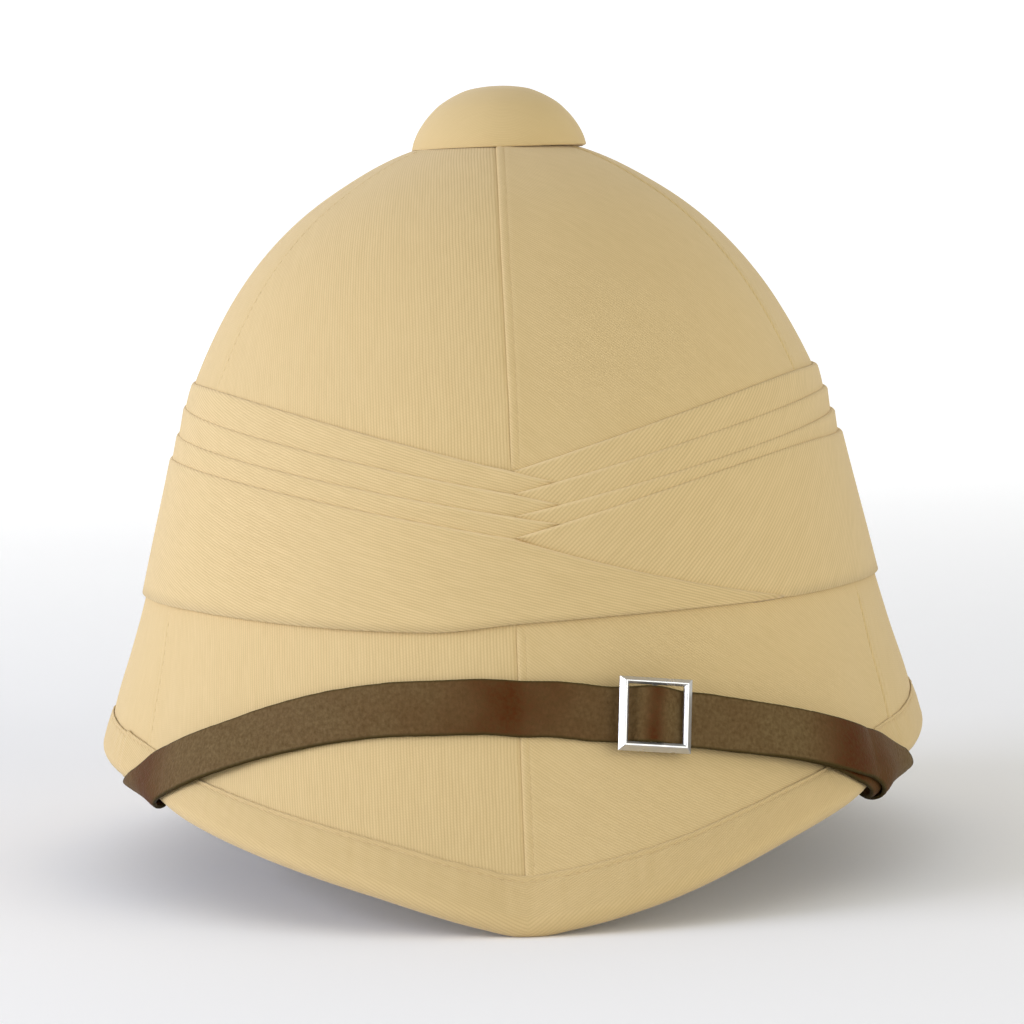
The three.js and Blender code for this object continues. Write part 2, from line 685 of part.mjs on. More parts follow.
const pieces = [
  ["shell", cut(shellBody, studLeft.drill, studRight.drill), cloth(0xcdb68a)],
  ["crown_button", crownButton, cloth(0xcdb68a)],
  ...FOLDS.map((fold, index) => [fold.name, pugareeFold(index), cloth(0xc8b084)]),
  ["brim_binding", brimBinding, cloth(0xc2aa7c)],
  ["chin_strap", cut(strapBody, studLeft.drill, studRight.drill), leather],
  ["buckle_strap", cut(underBody, studLeft.drill), leather],
  ["strap_buckle", buckleBody(), nickel],
  ["strap_stud_left", studLeft.body, brass],
  ["strap_stud_right", studRight.body, brass],
];

// Group with its origin under the middle of the helmet
const group = new THREE.Group();
group.name = "sun_helmet";
for (const [name, geometry, material] of pieces) {
  geometry.computeVertexNormals();
  const mesh = new THREE.Mesh(geometry, material.clone());
  mesh.name = name;
  group.add(mesh);
}
const box = new THREE.Box3().setFromObject(group);
const middle = box.getCenter(new THREE.Vector3());
for (const mesh of group.children) mesh.geometry.translate(-middle.x, -middle.y, -box.min.z);

export default group;
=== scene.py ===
import math

import bmesh
import bpy
import numpy as np
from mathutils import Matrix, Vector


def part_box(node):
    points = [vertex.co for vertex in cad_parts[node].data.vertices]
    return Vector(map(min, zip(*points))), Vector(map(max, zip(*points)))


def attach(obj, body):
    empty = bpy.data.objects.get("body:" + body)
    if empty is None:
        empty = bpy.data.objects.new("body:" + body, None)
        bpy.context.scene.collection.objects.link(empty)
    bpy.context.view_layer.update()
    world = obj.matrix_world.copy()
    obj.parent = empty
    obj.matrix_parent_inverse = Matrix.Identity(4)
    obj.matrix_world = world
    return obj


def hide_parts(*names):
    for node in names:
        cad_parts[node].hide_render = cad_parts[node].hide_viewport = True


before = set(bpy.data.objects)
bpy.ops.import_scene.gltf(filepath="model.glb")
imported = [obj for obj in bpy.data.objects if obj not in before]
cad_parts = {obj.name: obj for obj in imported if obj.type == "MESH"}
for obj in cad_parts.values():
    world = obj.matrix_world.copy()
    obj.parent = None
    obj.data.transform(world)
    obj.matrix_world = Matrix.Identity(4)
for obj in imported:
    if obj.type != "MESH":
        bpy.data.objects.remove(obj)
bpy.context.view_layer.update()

from types import SimpleNamespace
from mathutils import Quaternion, Vector

# Moulded shell and its cover: a pressed pith body about 5 mm thick, crown and brim in one, open below.
# Six gores of khaki cotton twill are glued over it, each lapped over the one before and topstitched
# beside the lap. The inside is the bare moulded pith.

# Sizes are in millimetres and angles in degrees; materials and the studio are in metres
MM = 0.001
WALL = 5.0

# Crown from the apex down: height, reach to the side, to the front and to the back
CROWN = np.array([
    (209.3, 0.0, 0.0, 0.0),
    (204.3, 25.4, 26.4, 26.8),
    (193.6, 46.6, 50.0, 52.0),
    (180.3, 63.7, 69.0, 72.5),
    (162.6, 78.3, 86.0, 90.5),
    (140.4, 90.1, 100.5, 106.0),
    (124.0, 94.6, 107.5, 113.5),
    (108.0, 98.9, 112.5, 119.0),
    (91.0, 103.6, 116.8, 124.0),
    (74.0, 108.2, 121.5, 129.5),
])

# Brim below the waist: share of the drop to the rim, reach to the side, to the front and to the back
BRIM = np.array([
    (0.32, 111.6, 129.0, 138.5),
    (0.66, 115.6, 140.5, 151.5),
    (1.00, 118.6, 155.5, 166.5),
])

# Rim round one half: azimuth from the tip of the peak, height, and lean down on +X and up on -X
RIM = np.array([
    (0, 3.2, 0.0),
    (6, 5.3, 0.5),
    (12, 8.1, 1.05),
    (20, 12.3, 1.35),
    (37, 21.2, 0.25),
    (50, 26.7, 0.0),
    (66, 31.8, -0.4),
    (90, 35.4, -0.4),
    (114, 29.3, 0.0),
    (135, 17.5, 0.0),
    (152, 6.6, 0.0),
    (163, 3.2, 0.0),
    (180, 3.2, 0.0),
])

# Rim drawn in under the strap on each side, and out a little beside it on the wearer's right:
# the middle of the place, its reach in degrees, and the depth
RIM_DRAWS = [
    (-63, 9.0, 3.0),
    (-88, 14.0, -1.4),
    (60, 7.0, 2.8),
]

# Crown set a little towards the wearer's right near its top: how far, and the levels over which that
# starts and ends
CROWN_ASIDE = 0.5
CROWN_ASIDE_START = (0.0, 1.0)
CROWN_ASIDE_END = (3.0, 5.5)

# Gores: azimuth of the seam, direction of the twill in the gore after it, width of its ribs over the
# usual, strength of the seam's relief, height where the pugaree starts
GORES = np.array([
    (-180, 60, 1.0, 0.6, 139.5),
    (-118, 116, 1.0, 0.6, 139.5),
    (-65, 90, 1.3, 0.6, 137.0),
    (0, -40, 1.0, 1.0, 117.5),
    (65, 60, 1.0, 0.6, 138.5),
    (118, 116, 1.0, 0.6, 139.5),
])
FRONT_RIGHT_GORE = 2
FRONT_LEFT_GORE = 3

# Lapped seam: distance from the lap's edge, height of its relief; the dip is the row of stitches
LAP = np.array([
    (-6.0, 0.0),
    (-3.0, 0.0),
    (-1.2, -0.03),
    (-0.5, -0.1),
    (-0.2, -0.24),
    (0.0, -0.2),
    (0.12, 0.16),
    (0.35, 0.36),
    (0.8, 0.43),
    (1.3, 0.41),
    (1.8, 0.33),
    (2.1, 0.24),
    (2.25, 0.21),
    (2.4, 0.24),
    (2.9, 0.3),
    (3.8, 0.24),
    (5.2, 0.1),
    (8.0, 0.0),
])

# Row of stitches on the lap, and how the relief narrows and fades at the apex and lies pressed under the band
LAP_STITCH_LINE = 2.25
LAP_STITCH_LIFT = 0.21
LAP_LEAST_RADIUS = 24.0
LAP_APEX_FADE = (14.0, 22.0)
LAP_PRESSED_SHARE = 0.85
LAP_BAND_FADE = 2.0
BAND_FOOT = 76.0

# Rows and columns of the mesh, the levels where it ends at the apex, and how often a search halves its range
SHELL_OUTER_ROWS = 150
SHELL_INNER_ROWS = 56
SHELL_EDGE_STEPS = 8
GORE_COLUMN_DEGREES = 2.3
COVER_TOP_LEVEL = 0.12
INSIDE_TOP_LEVEL = 0.3
LEAST_FRAME_LEVEL = 0.02
HALVINGS = 30

# Axis of these tables in the frame: through the middle of the button, whose top they put at this height
BUTTON_TOP = 223.0
button_low, button_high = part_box("crown_button")
button_middle = (button_low + button_high) / 2
crown_axis = np.array([button_middle.x, button_middle.y, button_high.z - BUTTON_TOP * MM])


def smooth_curve(xs, ys, level_start=False, level_end=False):
    """Smooth curve through points, level at its start or end where asked."""
    xs = np.asarray(xs, float)
    ys = np.asarray(ys, float)
    last = len(xs) - 1
    before = np.maximum(np.arange(last + 1) - 1, 0)
    after = np.minimum(np.arange(last + 1) + 1, last)
    slopes = (ys[after] - ys[before]) / (xs[after] - xs[before])
    if level_start:
        slopes[0] = 0.0
    if level_end:
        slopes[-1] = 0.0

    def at(x):
        i = np.clip(np.searchsorted(xs, x) - 1, 0, last - 1)
        span = xs[i + 1] - xs[i]
        t = (x - xs[i]) / span
        s = 1 - t
        points = ys[i] * s * s * (1 + 2 * t) + ys[i + 1] * t * t * (1 + 2 * s)
        return points + slopes[i] * span * t * s * s - slopes[i + 1] * span * t * t * s

    return at


def smoothstep(x, start, end):
    """Smooth step from 0 at start to 1 at end."""
    t = np.clip((np.asarray(x, float) - start) / (end - start), 0.0, 1.0)
    return t * t * (3 - 2 * t)


RIM_LEVEL = len(CROWN) + len(BRIM) - 1
WAIST = CROWN[-1, 0]
level_numbers = np.arange(RIM_LEVEL + 1)
side_reach = smooth_curve(level_numbers, np.r_[CROWN[:, 1], BRIM[:, 1]])
front_reach = smooth_curve(level_numbers, np.r_[CROWN[:, 2], BRIM[:, 2]])
back_reach = smooth_curve(level_numbers, np.r_[CROWN[:, 3], BRIM[:, 3]])
plain_height = smooth_curve(level_numbers, np.r_[CROWN[:, 0], WAIST * (1 - BRIM[:, 0])], True)
rim_share = smooth_curve(level_numbers, np.r_[0 * CROWN[:, 0], BRIM[:, 0]])
rim_height = smooth_curve(RIM[:, 0], RIM[:, 1], True, True)
rim_lean = smooth_curve(RIM[:, 0], RIM[:, 2], False, True)


def skin(azimuth, level):
    """Point of the outside, in mm from the crown's axis: azimuth 0 is the front, level 0 the apex."""
    azimuth, level = np.broadcast_arrays(azimuth, level)
    sine = np.sin(azimuth)
    cosine = np.cos(azimuth)
    degrees = np.degrees(np.arctan2(sine, cosine))
    from_front = np.abs(degrees)
    reach = np.where(cosine >= 0, front_reach(level), back_reach(level))
    share = rim_share(level)
    rim = rim_height(from_front) - np.sign(sine) * rim_lean(from_front)
    draws = [depth * np.exp(-((degrees - middle) / width) ** 2) for middle, width, depth in RIM_DRAWS]
    drawn = sum(draws) * share
    aside = CROWN_ASIDE * (smoothstep(level, *CROWN_ASIDE_START) - smoothstep(level, *CROWN_ASIDE_END))
    x = (side_reach(level) - drawn) * sine - aside
    y = -(reach - drawn) * cosine
    return np.stack([x, y, plain_height(level) + share * rim], axis=-1)


def unit(vectors):
    """Vectors of length 1."""
    return vectors / np.linalg.norm(vectors, axis=-1, keepdims=True)


def wall_frame(azimuth, level):
    """Directions out of the wall, and down it towards the rim."""
    step = 1e-3
    at = np.clip(level, LEAST_FRAME_LEVEL, RIM_LEVEL - step)
    around = skin(azimuth + step, at) - skin(azimuth - step, at)
    down = unit(skin(azimuth, at + step) - skin(azimuth, at - step))
    return unit(np.cross(down, around)), down


def off_skin(azimuth, level, lift):
    """Point lifted off the outside."""
    out, _ = wall_frame(azimuth, level)
    lift = np.broadcast_to(lift, out.shape[:-1])
    return skin(azimuth, level) + out * lift[..., None]


def level_at_height(azimuth, height):
    """Level at a height of the crown."""
    azimuth, height = np.broadcast_arrays(azimuth, height)
    upper = np.zeros(azimuth.shape)
    lower = np.full(azimuth.shape, float(RIM_LEVEL))
    for _ in range(HALVINGS):
        middle = (upper + lower) / 2
        above = skin(azimuth, middle)[..., 2] > height
        upper = np.where(above, middle, upper)
        lower = np.where(above, lower, middle)
    return lower


def lengths_along(points, axis=0):
    """Length of lines of points up to each point; the lines run along an axis of the array."""
    steps = np.linalg.norm(np.diff(points, axis=axis), axis=-1)
    starts = np.zeros_like(steps.take([0], axis=axis))
    return np.concatenate([starts, np.cumsum(steps, axis=axis)], axis=axis)


# Level at each distance up the wall from the rim, for each whole degree of azimuth
WALL_STEP = 0.5
WALL_REACH = 140.0
WALL_TOP_LEVEL = 4.0
WALL_LINE_POINTS = 700
wall_degrees = np.arange(-180.0, 181.0)
wall_levels = np.linspace(RIM_LEVEL, WALL_TOP_LEVEL, WALL_LINE_POINTS)
wall_lines = skin(np.radians(wall_degrees)[:, None], wall_levels[None, :])
wall_lengths = lengths_along(wall_lines, 1)
wall_distances = np.arange(0.0, WALL_REACH, WALL_STEP)
wall_table = np.array([np.interp(wall_distances, lengths, wall_levels) for lengths in wall_lengths])


def level_at_distance(azimuth, distance):
    """Level at a distance up the wall from the rim."""
    degrees = (np.degrees(azimuth) + 180.0) % 360.0
    row = np.clip(np.floor(degrees).astype(int), 0, len(wall_degrees) - 2)
    column = np.clip(np.floor(distance / WALL_STEP).astype(int), 0, len(wall_distances) - 2)
    across = degrees - row
    up = distance / WALL_STEP - column
    near = wall_table[row, column] * (1 - up) + wall_table[row, column + 1] * up
    far = wall_table[row + 1, column] * (1 - up) + wall_table[row + 1, column + 1] * up
    return near * (1 - across) + far * across


def on_wall(azimuth, along, lift, turn_radius=WALL / 2):
    """Point by distance from the rim: up the outside above 0, round the edge and up the inside below it."""
    azimuth, along, lift = np.broadcast_arrays(azimuth, along, lift)
    edge = math.pi * turn_radius
    distance = np.where(along >= 0, along, np.maximum(-edge - along, 0.0))
    level = level_at_distance(azimuth, distance)
    out, down = wall_frame(azimuth, level)
    angle = np.clip(-along / turn_radius, 0.0, math.pi)
    radius = WALL / 2 + lift
    shift_out = radius * np.cos(angle) - WALL / 2
    shift_down = radius * np.sin(angle)
    return skin(azimuth, level) + out * shift_out[..., None] + down * shift_down[..., None]


def grid_faces(rows, columns, wrap_rows=False, wrap_columns=False):
    """Quads of a grid of points, and the row and column of their corners counted past the wrap."""
    row_spans = rows if wrap_rows else rows - 1
    column_spans = columns if wrap_columns else columns - 1
    row, column = np.meshgrid(np.arange(row_spans), np.arange(column_spans), indexing="ij")
    row = np.stack([row, row, row + 1, row + 1], axis=-1).reshape(-1, 4)
    column = np.stack([column, column + 1, column + 1, column], axis=-1).reshape(-1, 4)
    return (row % rows) * columns + column % columns, row, column


def end_caps(rows, columns):
    """Corners of the faces that close the first and the last ring of a grid."""
    ring = np.arange(columns)
    return [ring, (rows - 1) * columns + ring]


def add_piece(name, points, quads, corner_map, materials, caps=(), face_materials=None):
    """Mesh object from points in mm, its quads and capping faces, with the map of its cloth or leather."""
    mesh = bpy.data.meshes.new(name)
    caps = [list(map(int, cap)) for cap in caps]
    mesh.from_pydata((points.reshape(-1, 3) * MM + crown_axis).tolist(), [], quads.tolist() + caps)
    corners = np.zeros((len(mesh.loops), 2))
    if corner_map is not None:
        corners[:quads.size] = corner_map.reshape(-1, 2) * MM
    mesh.uv_layers.new(name="cloth").data.foreach_set("uv", corners.ravel())
    for material in materials:
        mesh.materials.append(material)
    if face_materials is not None:
        mesh.polygons.foreach_set("material_index", face_materials)
    mesh.polygons.foreach_set("use_smooth", np.ones(len(mesh.polygons), bool))
    shape = bmesh.new()
    shape.from_mesh(mesh)
    bmesh.ops.recalc_face_normals(shape, faces=shape.faces)
    shape.to_mesh(mesh)
    shape.free()
    piece = bpy.data.objects.new(name, mesh)
    bpy.context.collection.objects.link(piece)
    return piece


def turned_map(across, up, degrees):
    """Map whose first axis runs along lines at an angle to the level."""
    angle = np.radians(degrees)
    along = across * np.cos(angle) + up * np.sin(angle)
    over = -across * np.sin(angle) + up * np.cos(angle)
    return np.stack([along, over], axis=-1)


def feed(tree, socket, value):
    """Link a socket to another, or set its number or colour."""
    if isinstance(value, bpy.types.NodeSocket):
        tree.links.new(value, socket)
    elif isinstance(value, tuple):
        socket.default_value = (*value, 1.0)
    else:
        socket.default_value = value


def maths(tree, operation, *values):
    """Math node on sockets or numbers; gives its output."""
    made = tree.nodes.new("ShaderNodeMath")
    made.operation = operation
    for socket, value in zip(made.inputs, values):
        feed(tree, socket, value)
    return made.outputs[0]


def noise(tree, vector, scale, detail=2.0, dimensions="3D"):
    """Noise texture; gives its value."""
    made = tree.nodes.new("ShaderNodeTexNoise")
    made.noise_dimensions = dimensions
    made.inputs["Scale"].default_value = scale
    made.inputs["Detail"].default_value = detail
    tree.links.new(vector, made.inputs["Vector"])
    return made.outputs["Fac"]


def mixed(tree, factor, first, second):
    """Mix of two colours, each a socket or a triple; gives its colour."""
    made = tree.nodes.new("ShaderNodeMix")
    made.data_type = "RGBA"
    factor_socket, first_socket, second_socket, result_socket = 0, 6, 7, 2
    feed(tree, made.inputs[factor_socket], factor)
    feed(tree, made.inputs[first_socket], first)
    feed(tree, made.inputs[second_socket], second)
    return made.outputs[result_socket]


def emboss(tree, shader, height, strength, distance):
    """Bump on the surface of a shader, from a height."""
    made = tree.nodes.new("ShaderNodeBump")
    made.inputs["Strength"].default_value = strength
    made.inputs["Distance"].default_value = distance
    tree.links.new(height, made.inputs["Height"])
    tree.links.new(made.outputs["Normal"], shader.inputs["Normal"])


def new_material(name):
    """Material with its node tree and shader."""
    material = bpy.data.materials.new(name)
    material.use_nodes = True
    tree = material.node_tree
    return material, tree, tree.nodes["Principled BSDF"]


def new_group(name, inputs, outputs):
    """Node group with float inputs and outputs; gives the tree, its input node and its output node."""
    tree = bpy.data.node_groups.new(name, "ShaderNodeTree")
    for label, value in inputs:
        socket = tree.interface.new_socket(label, in_out="INPUT", socket_type="NodeSocketFloat")
        socket.default_value = value
    for label in outputs:
        tree.interface.new_socket(label, in_out="OUTPUT", socket_type="NodeSocketFloat")
    return tree, tree.nodes.new("NodeGroupInput"), tree.nodes.new("NodeGroupOutput")


def place_group(tree, group):
    """Node group placed in a material."""
    made = tree.nodes.new("ShaderNodeGroup")
    made.node_tree = group
    return made


def rounded_wave(tree, phase):
    """Wave with one round bump for each whole step of a phase."""
    return maths(tree, "ABSOLUTE", maths(tree, "SINE", maths(tree, "MULTIPLY", phase, math.pi)))


# Twill weave: ribs along the first axis of the cloth map, each made of short floats, none quite even
TWILL_PITCH = 0.00068
RIB_WANDER = 0.5
RIB_WANDER_SCALE = 90.0
FLOAT_OFFSET = 0.37
FLOAT_RELIEF = 0.25
SLUB_STRETCH = 120.0
SLUB_SPREAD = 7.31
SLUB_TONE = 0.7
FADE_SCALE = 26.0
twill, twill_in, twill_out = new_group("twill_weave", [("Pitch", TWILL_PITCH)], ["Tone", "Height", "Fade"])
cloth_map = twill.nodes.new("ShaderNodeUVMap")
cloth_map.uv_map = "cloth"
cloth_axes = twill.nodes.new("ShaderNodeSeparateXYZ")
twill.links.new(cloth_map.outputs["UV"], cloth_axes.inputs[0])
wander = maths(twill, "SUBTRACT", noise(twill, cloth_map.outputs["UV"], RIB_WANDER_SCALE, 2.0, "2D"), 0.5)
rib_phase = maths(twill, "DIVIDE", cloth_axes.outputs["Y"], twill_in.outputs["Pitch"])
rib_phase = maths(twill, "MULTIPLY_ADD", wander, RIB_WANDER, rib_phase)
rib_number = maths(twill, "FLOOR", rib_phase)
float_phase = maths(twill, "DIVIDE", cloth_axes.outputs["X"], twill_in.outputs["Pitch"])
float_phase = maths(twill, "MULTIPLY_ADD", rib_number, FLOAT_OFFSET, float_phase)
float_share = maths(twill, "MULTIPLY_ADD", rounded_wave(twill, float_phase), FLOAT_RELIEF, 1 - FLOAT_RELIEF)
slub_place = twill.nodes.new("ShaderNodeCombineXYZ")
twill.links.new(maths(twill, "MULTIPLY", cloth_axes.outputs["X"], SLUB_STRETCH), slub_place.inputs["X"])
twill.links.new(maths(twill, "MULTIPLY", rib_number, SLUB_SPREAD), slub_place.inputs["Y"])
slub = maths(twill, "SUBTRACT", noise(twill, slub_place.outputs[0], 1.0), 0.5)
rib_relief = maths(twill, "MULTIPLY", rounded_wave(twill, rib_phase), float_share)
twill.links.new(rib_relief, twill_out.inputs["Height"])
twill.links.new(maths(twill, "MULTIPLY_ADD", slub, SLUB_TONE, rib_relief), twill_out.inputs["Tone"])
cloth_place = twill.nodes.new("ShaderNodeTexCoord").outputs["Object"]
twill.links.new(noise(twill, cloth_place, FADE_SCALE, 4.0), twill_out.inputs["Fade"])

CLOTH_FADED = 0.5
CLOTH_RIB_HEIGHT = 0.00012


def twill_cloth(name, rib_colour, groove_colour, faded_colour, pitch, relief_strength, nose_highlight_colour=None):
    """Matte cotton twill: ribs over darker grooves, faded a little in patches, and lighter on its fold noses
    as a painted highlight, if any.
    """
    material, tree, shader = new_material(name)
    weave = place_group(tree, twill)
    weave.inputs["Pitch"].default_value = pitch
    woven = mixed(tree, weave.outputs["Tone"], groove_colour, rib_colour)
    patches = maths(tree, "MULTIPLY", weave.outputs["Fade"], CLOTH_FADED)
    colour = mixed(tree, patches, woven, faded_colour)
    if nose_highlight_colour is not None:
        # Lighter colour on the pleat noses is a painted highlight, where the noses catch the light
        fold = tree.nodes.new("ShaderNodeAttribute")
        fold.attribute_name = "fold"
        colour = mixed(tree, fold.outputs["Fac"], colour, nose_highlight_colour)
    tree.links.new(colour, shader.inputs["Base Color"])
    emboss(tree, shader, weave.outputs["Height"], relief_strength, CLOTH_RIB_HEIGHT)
    shader.inputs["Roughness"].default_value = 0.88
    shader.inputs["Specular IOR Level"].default_value = 0.2
    shader.inputs["Sheen Weight"].default_value = 0.18
    shader.inputs["Sheen Roughness"].default_value = 0.5
    shader.inputs["Sheen Tint"].default_value = (1.0, 0.97, 0.9, 1.0)
    return material


cover_twill = twill_cloth(
    "cover_twill",
    rib_colour=(0.635, 0.475, 0.232),
    groove_colour=(0.495, 0.357, 0.155),
    faded_colour=(0.58, 0.442, 0.225),
    pitch=TWILL_PITCH,
    relief_strength=0.45,
)

# Pressed pith: pale patches and small cells
PITH_DARK = (0.5, 0.42, 0.29)
PITH_PALE = (0.68, 0.6, 0.45)
PITH_PATCH_SCALE = 60.0
PITH_CELL_SCALE = 420.0
PITH_RELIEF = 0.4
PITH_CELL_DEPTH = 0.0004
pressed_pith, pith_tree, pith_shader = new_material("pressed_pith")
pith_place = pith_tree.nodes.new("ShaderNodeTexCoord").outputs["Object"]
pith_patches = noise(pith_tree, pith_place, PITH_PATCH_SCALE, 6.0)
pith_cells = pith_tree.nodes.new("ShaderNodeTexVoronoi")
pith_cells.inputs["Scale"].default_value = PITH_CELL_SCALE
pith_tree.links.new(pith_place, pith_cells.inputs["Vector"])
pith_colour = mixed(pith_tree, pith_patches, PITH_DARK, PITH_PALE)
pith_tree.links.new(pith_colour, pith_shader.inputs["Base Color"])
emboss(pith_tree, pith_shader, pith_cells.outputs["Distance"], PITH_RELIEF, PITH_CELL_DEPTH)
pith_shader.inputs["Roughness"].default_value = 0.95


def girth_per_radian(azimuth, levels):
    """Length round the wall for each radian of azimuth."""
    step = 1e-3
    return np.linalg.norm(skin(azimuth + step, levels) - skin(azimuth - step, levels), axis=-1) / (2 * step)


def beside_seam(seam_turn, distances, levels):
    """Azimuths at distances beside a seam, for each level."""
    girth = np.maximum(girth_per_radian(seam_turn, levels), LAP_LEAST_RADIUS)
    return seam_turn + distances[None, :] / girth[:, None]


def gore_columns(levels):
    """Azimuth of each column at each level, its relief, and its gore: close columns beside the seams."""
    before = LAP[LAP[:, 0] < 0]
    after = LAP[LAP[:, 0] >= 0]
    turns, reliefs, gores = [], [], []
    for index, (seam, _, _, strength, _) in enumerate(GORES):
        next_seam, _, _, next_strength, _ = GORES[(index + 1) % len(GORES)]
        start = math.radians(seam)
        end = math.radians(next_seam if next_seam > seam else next_seam + 360)
        first = beside_seam(start, after[:, 0], levels)
        last = beside_seam(end, before[:, 0], levels)
        count = round(math.degrees(end - start) / GORE_COLUMN_DEGREES)
        shares = np.linspace(0, 1, count + 2)[None, 1:-1]
        between = first[:, -1:] + (last[:, :1] - first[:, -1:]) * shares
        turns += [first, between, last]
        reliefs += [after[:, 1] * strength, np.zeros(count), before[:, 1] * next_strength]
        gores += [index] * (len(after) + count + len(before))
    return np.concatenate(turns, axis=1), np.concatenate(reliefs), np.array(gores)


outer_levels = np.linspace(COVER_TOP_LEVEL, RIM_LEVEL, SHELL_OUTER_ROWS)
inner_levels = np.linspace(RIM_LEVEL, INSIDE_TOP_LEVEL, SHELL_INNER_ROWS)
outer_turns, lap_relief, column_gores = gore_columns(outer_levels)
outer_plain = skin(outer_turns, outer_levels[:, None])
outer_heights = outer_plain[..., 2]
band_tops = GORES[column_gores, 4][None, :]
over_band = smoothstep(outer_heights, band_tops, band_tops + LAP_BAND_FADE)
under_band = smoothstep(outer_heights, BAND_FOOT - LAP_BAND_FADE, BAND_FOOT) * (1 - over_band)
from_apex = smoothstep(np.hypot(outer_plain[..., 0], outer_plain[..., 1]), *LAP_APEX_FADE)
outer_lifts = lap_relief[None, :] * (1 - LAP_PRESSED_SHARE * under_band) * from_apex
outer_rings = off_skin(outer_turns, outer_levels[:, None], outer_lifts)
rim_turns = outer_turns[-1:]
edge_distances = -math.pi * WALL / 2 * np.arange(1, SHELL_EDGE_STEPS)[:, None] / SHELL_EDGE_STEPS
edge_rings = on_wall(rim_turns, edge_distances, 0.0)
inner_turns, _, _ = gore_columns(inner_levels)
inner_rings = off_skin(inner_turns, inner_levels[:, None], -WALL)
shell_points = np.concatenate([outer_rings, edge_rings, inner_rings])

shell_rows, shell_columns = shell_points.shape[:2]
shell_quads, corner_rows, corner_columns = grid_faces(shell_rows, shell_columns, wrap_columns=True)
girths = lengths_along(np.concatenate([shell_points, shell_points[:, :1]], axis=1), 1)
quad_gores = column_gores[corner_columns[:, 0]]
gore_origins = np.array([int(np.mean(np.flatnonzero(column_gores == index))) for index in range(len(GORES))])
front_seam = np.flatnonzero(column_gores == FRONT_LEFT_GORE)[0]
gore_origins[[FRONT_RIGHT_GORE, FRONT_LEFT_GORE]] = front_seam
falls = lengths_along(shell_points[:, gore_origins])
gore_across = girths[corner_rows, corner_columns] - girths[corner_rows, gore_origins[quad_gores][:, None]]
gore_up = -falls[corner_rows, quad_gores[:, None]]
gore_twill = GORES[quad_gores, 1][:, None]
gore_ribs = GORES[quad_gores, 2][:, None, None]
shell_map = turned_map(gore_across, gore_up, gore_twill) / gore_ribs
quad_inside = (corner_rows[:, 0] >= len(outer_rings) + len(edge_rings)).astype(int)
helmet_cover = add_piece(
    "helmet_cover", shell_points, shell_quads, shell_map, [cover_twill, pressed_pith],
    end_caps(shell_rows, shell_columns), np.r_[quad_inside, 0, 1],
)
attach(helmet_cover, "root")
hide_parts("shell")

# Seam stitches: a row of fine cotton thread stitches beside each lap, sunk at their ends into the cloth.
# They show from the button to the pugaree and from the pugaree to the binding.

# Thread: sides of its mesh, colours, pitch and angle of its twist, step of its map round it, relief
THREAD_SIDES = 6
THREAD_DARK = (0.58, 0.43, 0.205)
THREAD_PALE = (0.64, 0.485, 0.248)
THREAD_PITCH = 0.0003
THREAD_TWIST = 40.0
THREAD_MAP_STEP = 0.2
THREAD_RELIEF = 0.5
THREAD_TWIST_DEPTH = 0.0001

# Stitch: rings of its mesh, step of its map along it, share cut off at its ends, rise and sink in radii
STITCH_STATIONS = 7
STITCH_MAP_STEP = 0.33
STITCH_END = 0.06
STITCH_RISE = 1.1
STITCH_SINK = 0.7

# Seams: radius of the thread, length of a stitch and of a gap, and where the stitched stretches end
SEAM_THREAD = 0.08
SEAM_STITCH = 1.9
SEAM_GAP = 0.8
SEAM_TOP_LEVEL = 1.03
SEAM_LOW_DISTANCE = 13.0
SEAM_OVER_BAND = 1.5
SEAM_UNDER_BAND = 2.5
SEAM_HIGH_POINTS = 240
SEAM_LOW_POINTS = 160

sewing_thread, thread_tree, thread_shader = new_material("sewing_thread")
twist = place_group(thread_tree, twill)
twist.inputs["Pitch"].default_value = THREAD_PITCH
thread_colour = mixed(thread_tree, twist.outputs["Tone"], THREAD_DARK, THREAD_PALE)
thread_tree.links.new(thread_colour, thread_shader.inputs["Base Color"])
emboss(thread_tree, thread_shader, twist.outputs["Height"], THREAD_RELIEF, THREAD_TWIST_DEPTH)
thread_shader.inputs["Roughness"].default_value = 0.8


def stitch_rows(lines, normals, thread, stitch, gap):
    """Rings of points for each stitch along lines: thick in the middle, thin and sunk at the ends."""
    rings = []
    for line, normal in zip(lines, normals):
        lengths = lengths_along(line)
        starts = np.arange(0.0, lengths[-1] - stitch, stitch + gap)
        shares = np.linspace(0, 1, STITCH_STATIONS)
        places = starts[:, None] + stitch * shares[None, :]
        centres = np.stack([np.interp(places, lengths, line[:, axis]) for axis in range(3)], axis=-1)
        outs = unit(np.stack([np.interp(places, lengths, normal[:, axis]) for axis in range(3)], axis=-1))
        ahead = unit(centres[:, -1:] - centres[:, :1])
        beside = np.cross(outs, ahead)
        swell = np.sin(math.pi * np.clip(shares, STITCH_END, 1 - STITCH_END)) ** 0.5
        centres = centres + outs * (thread * (STITCH_RISE * swell - STITCH_SINK))[None, :, None]
        angles = np.arange(THREAD_SIDES) * 2 * math.pi / THREAD_SIDES
        radius = (thread * swell)[None, :, None, None]
        ring = np.cos(angles)[:, None] * beside[:, :, None] + np.sin(angles)[:, None] * outs[:, :, None]
        rings.append(centres[:, :, None] + ring * radius)
    return np.concatenate(rings)


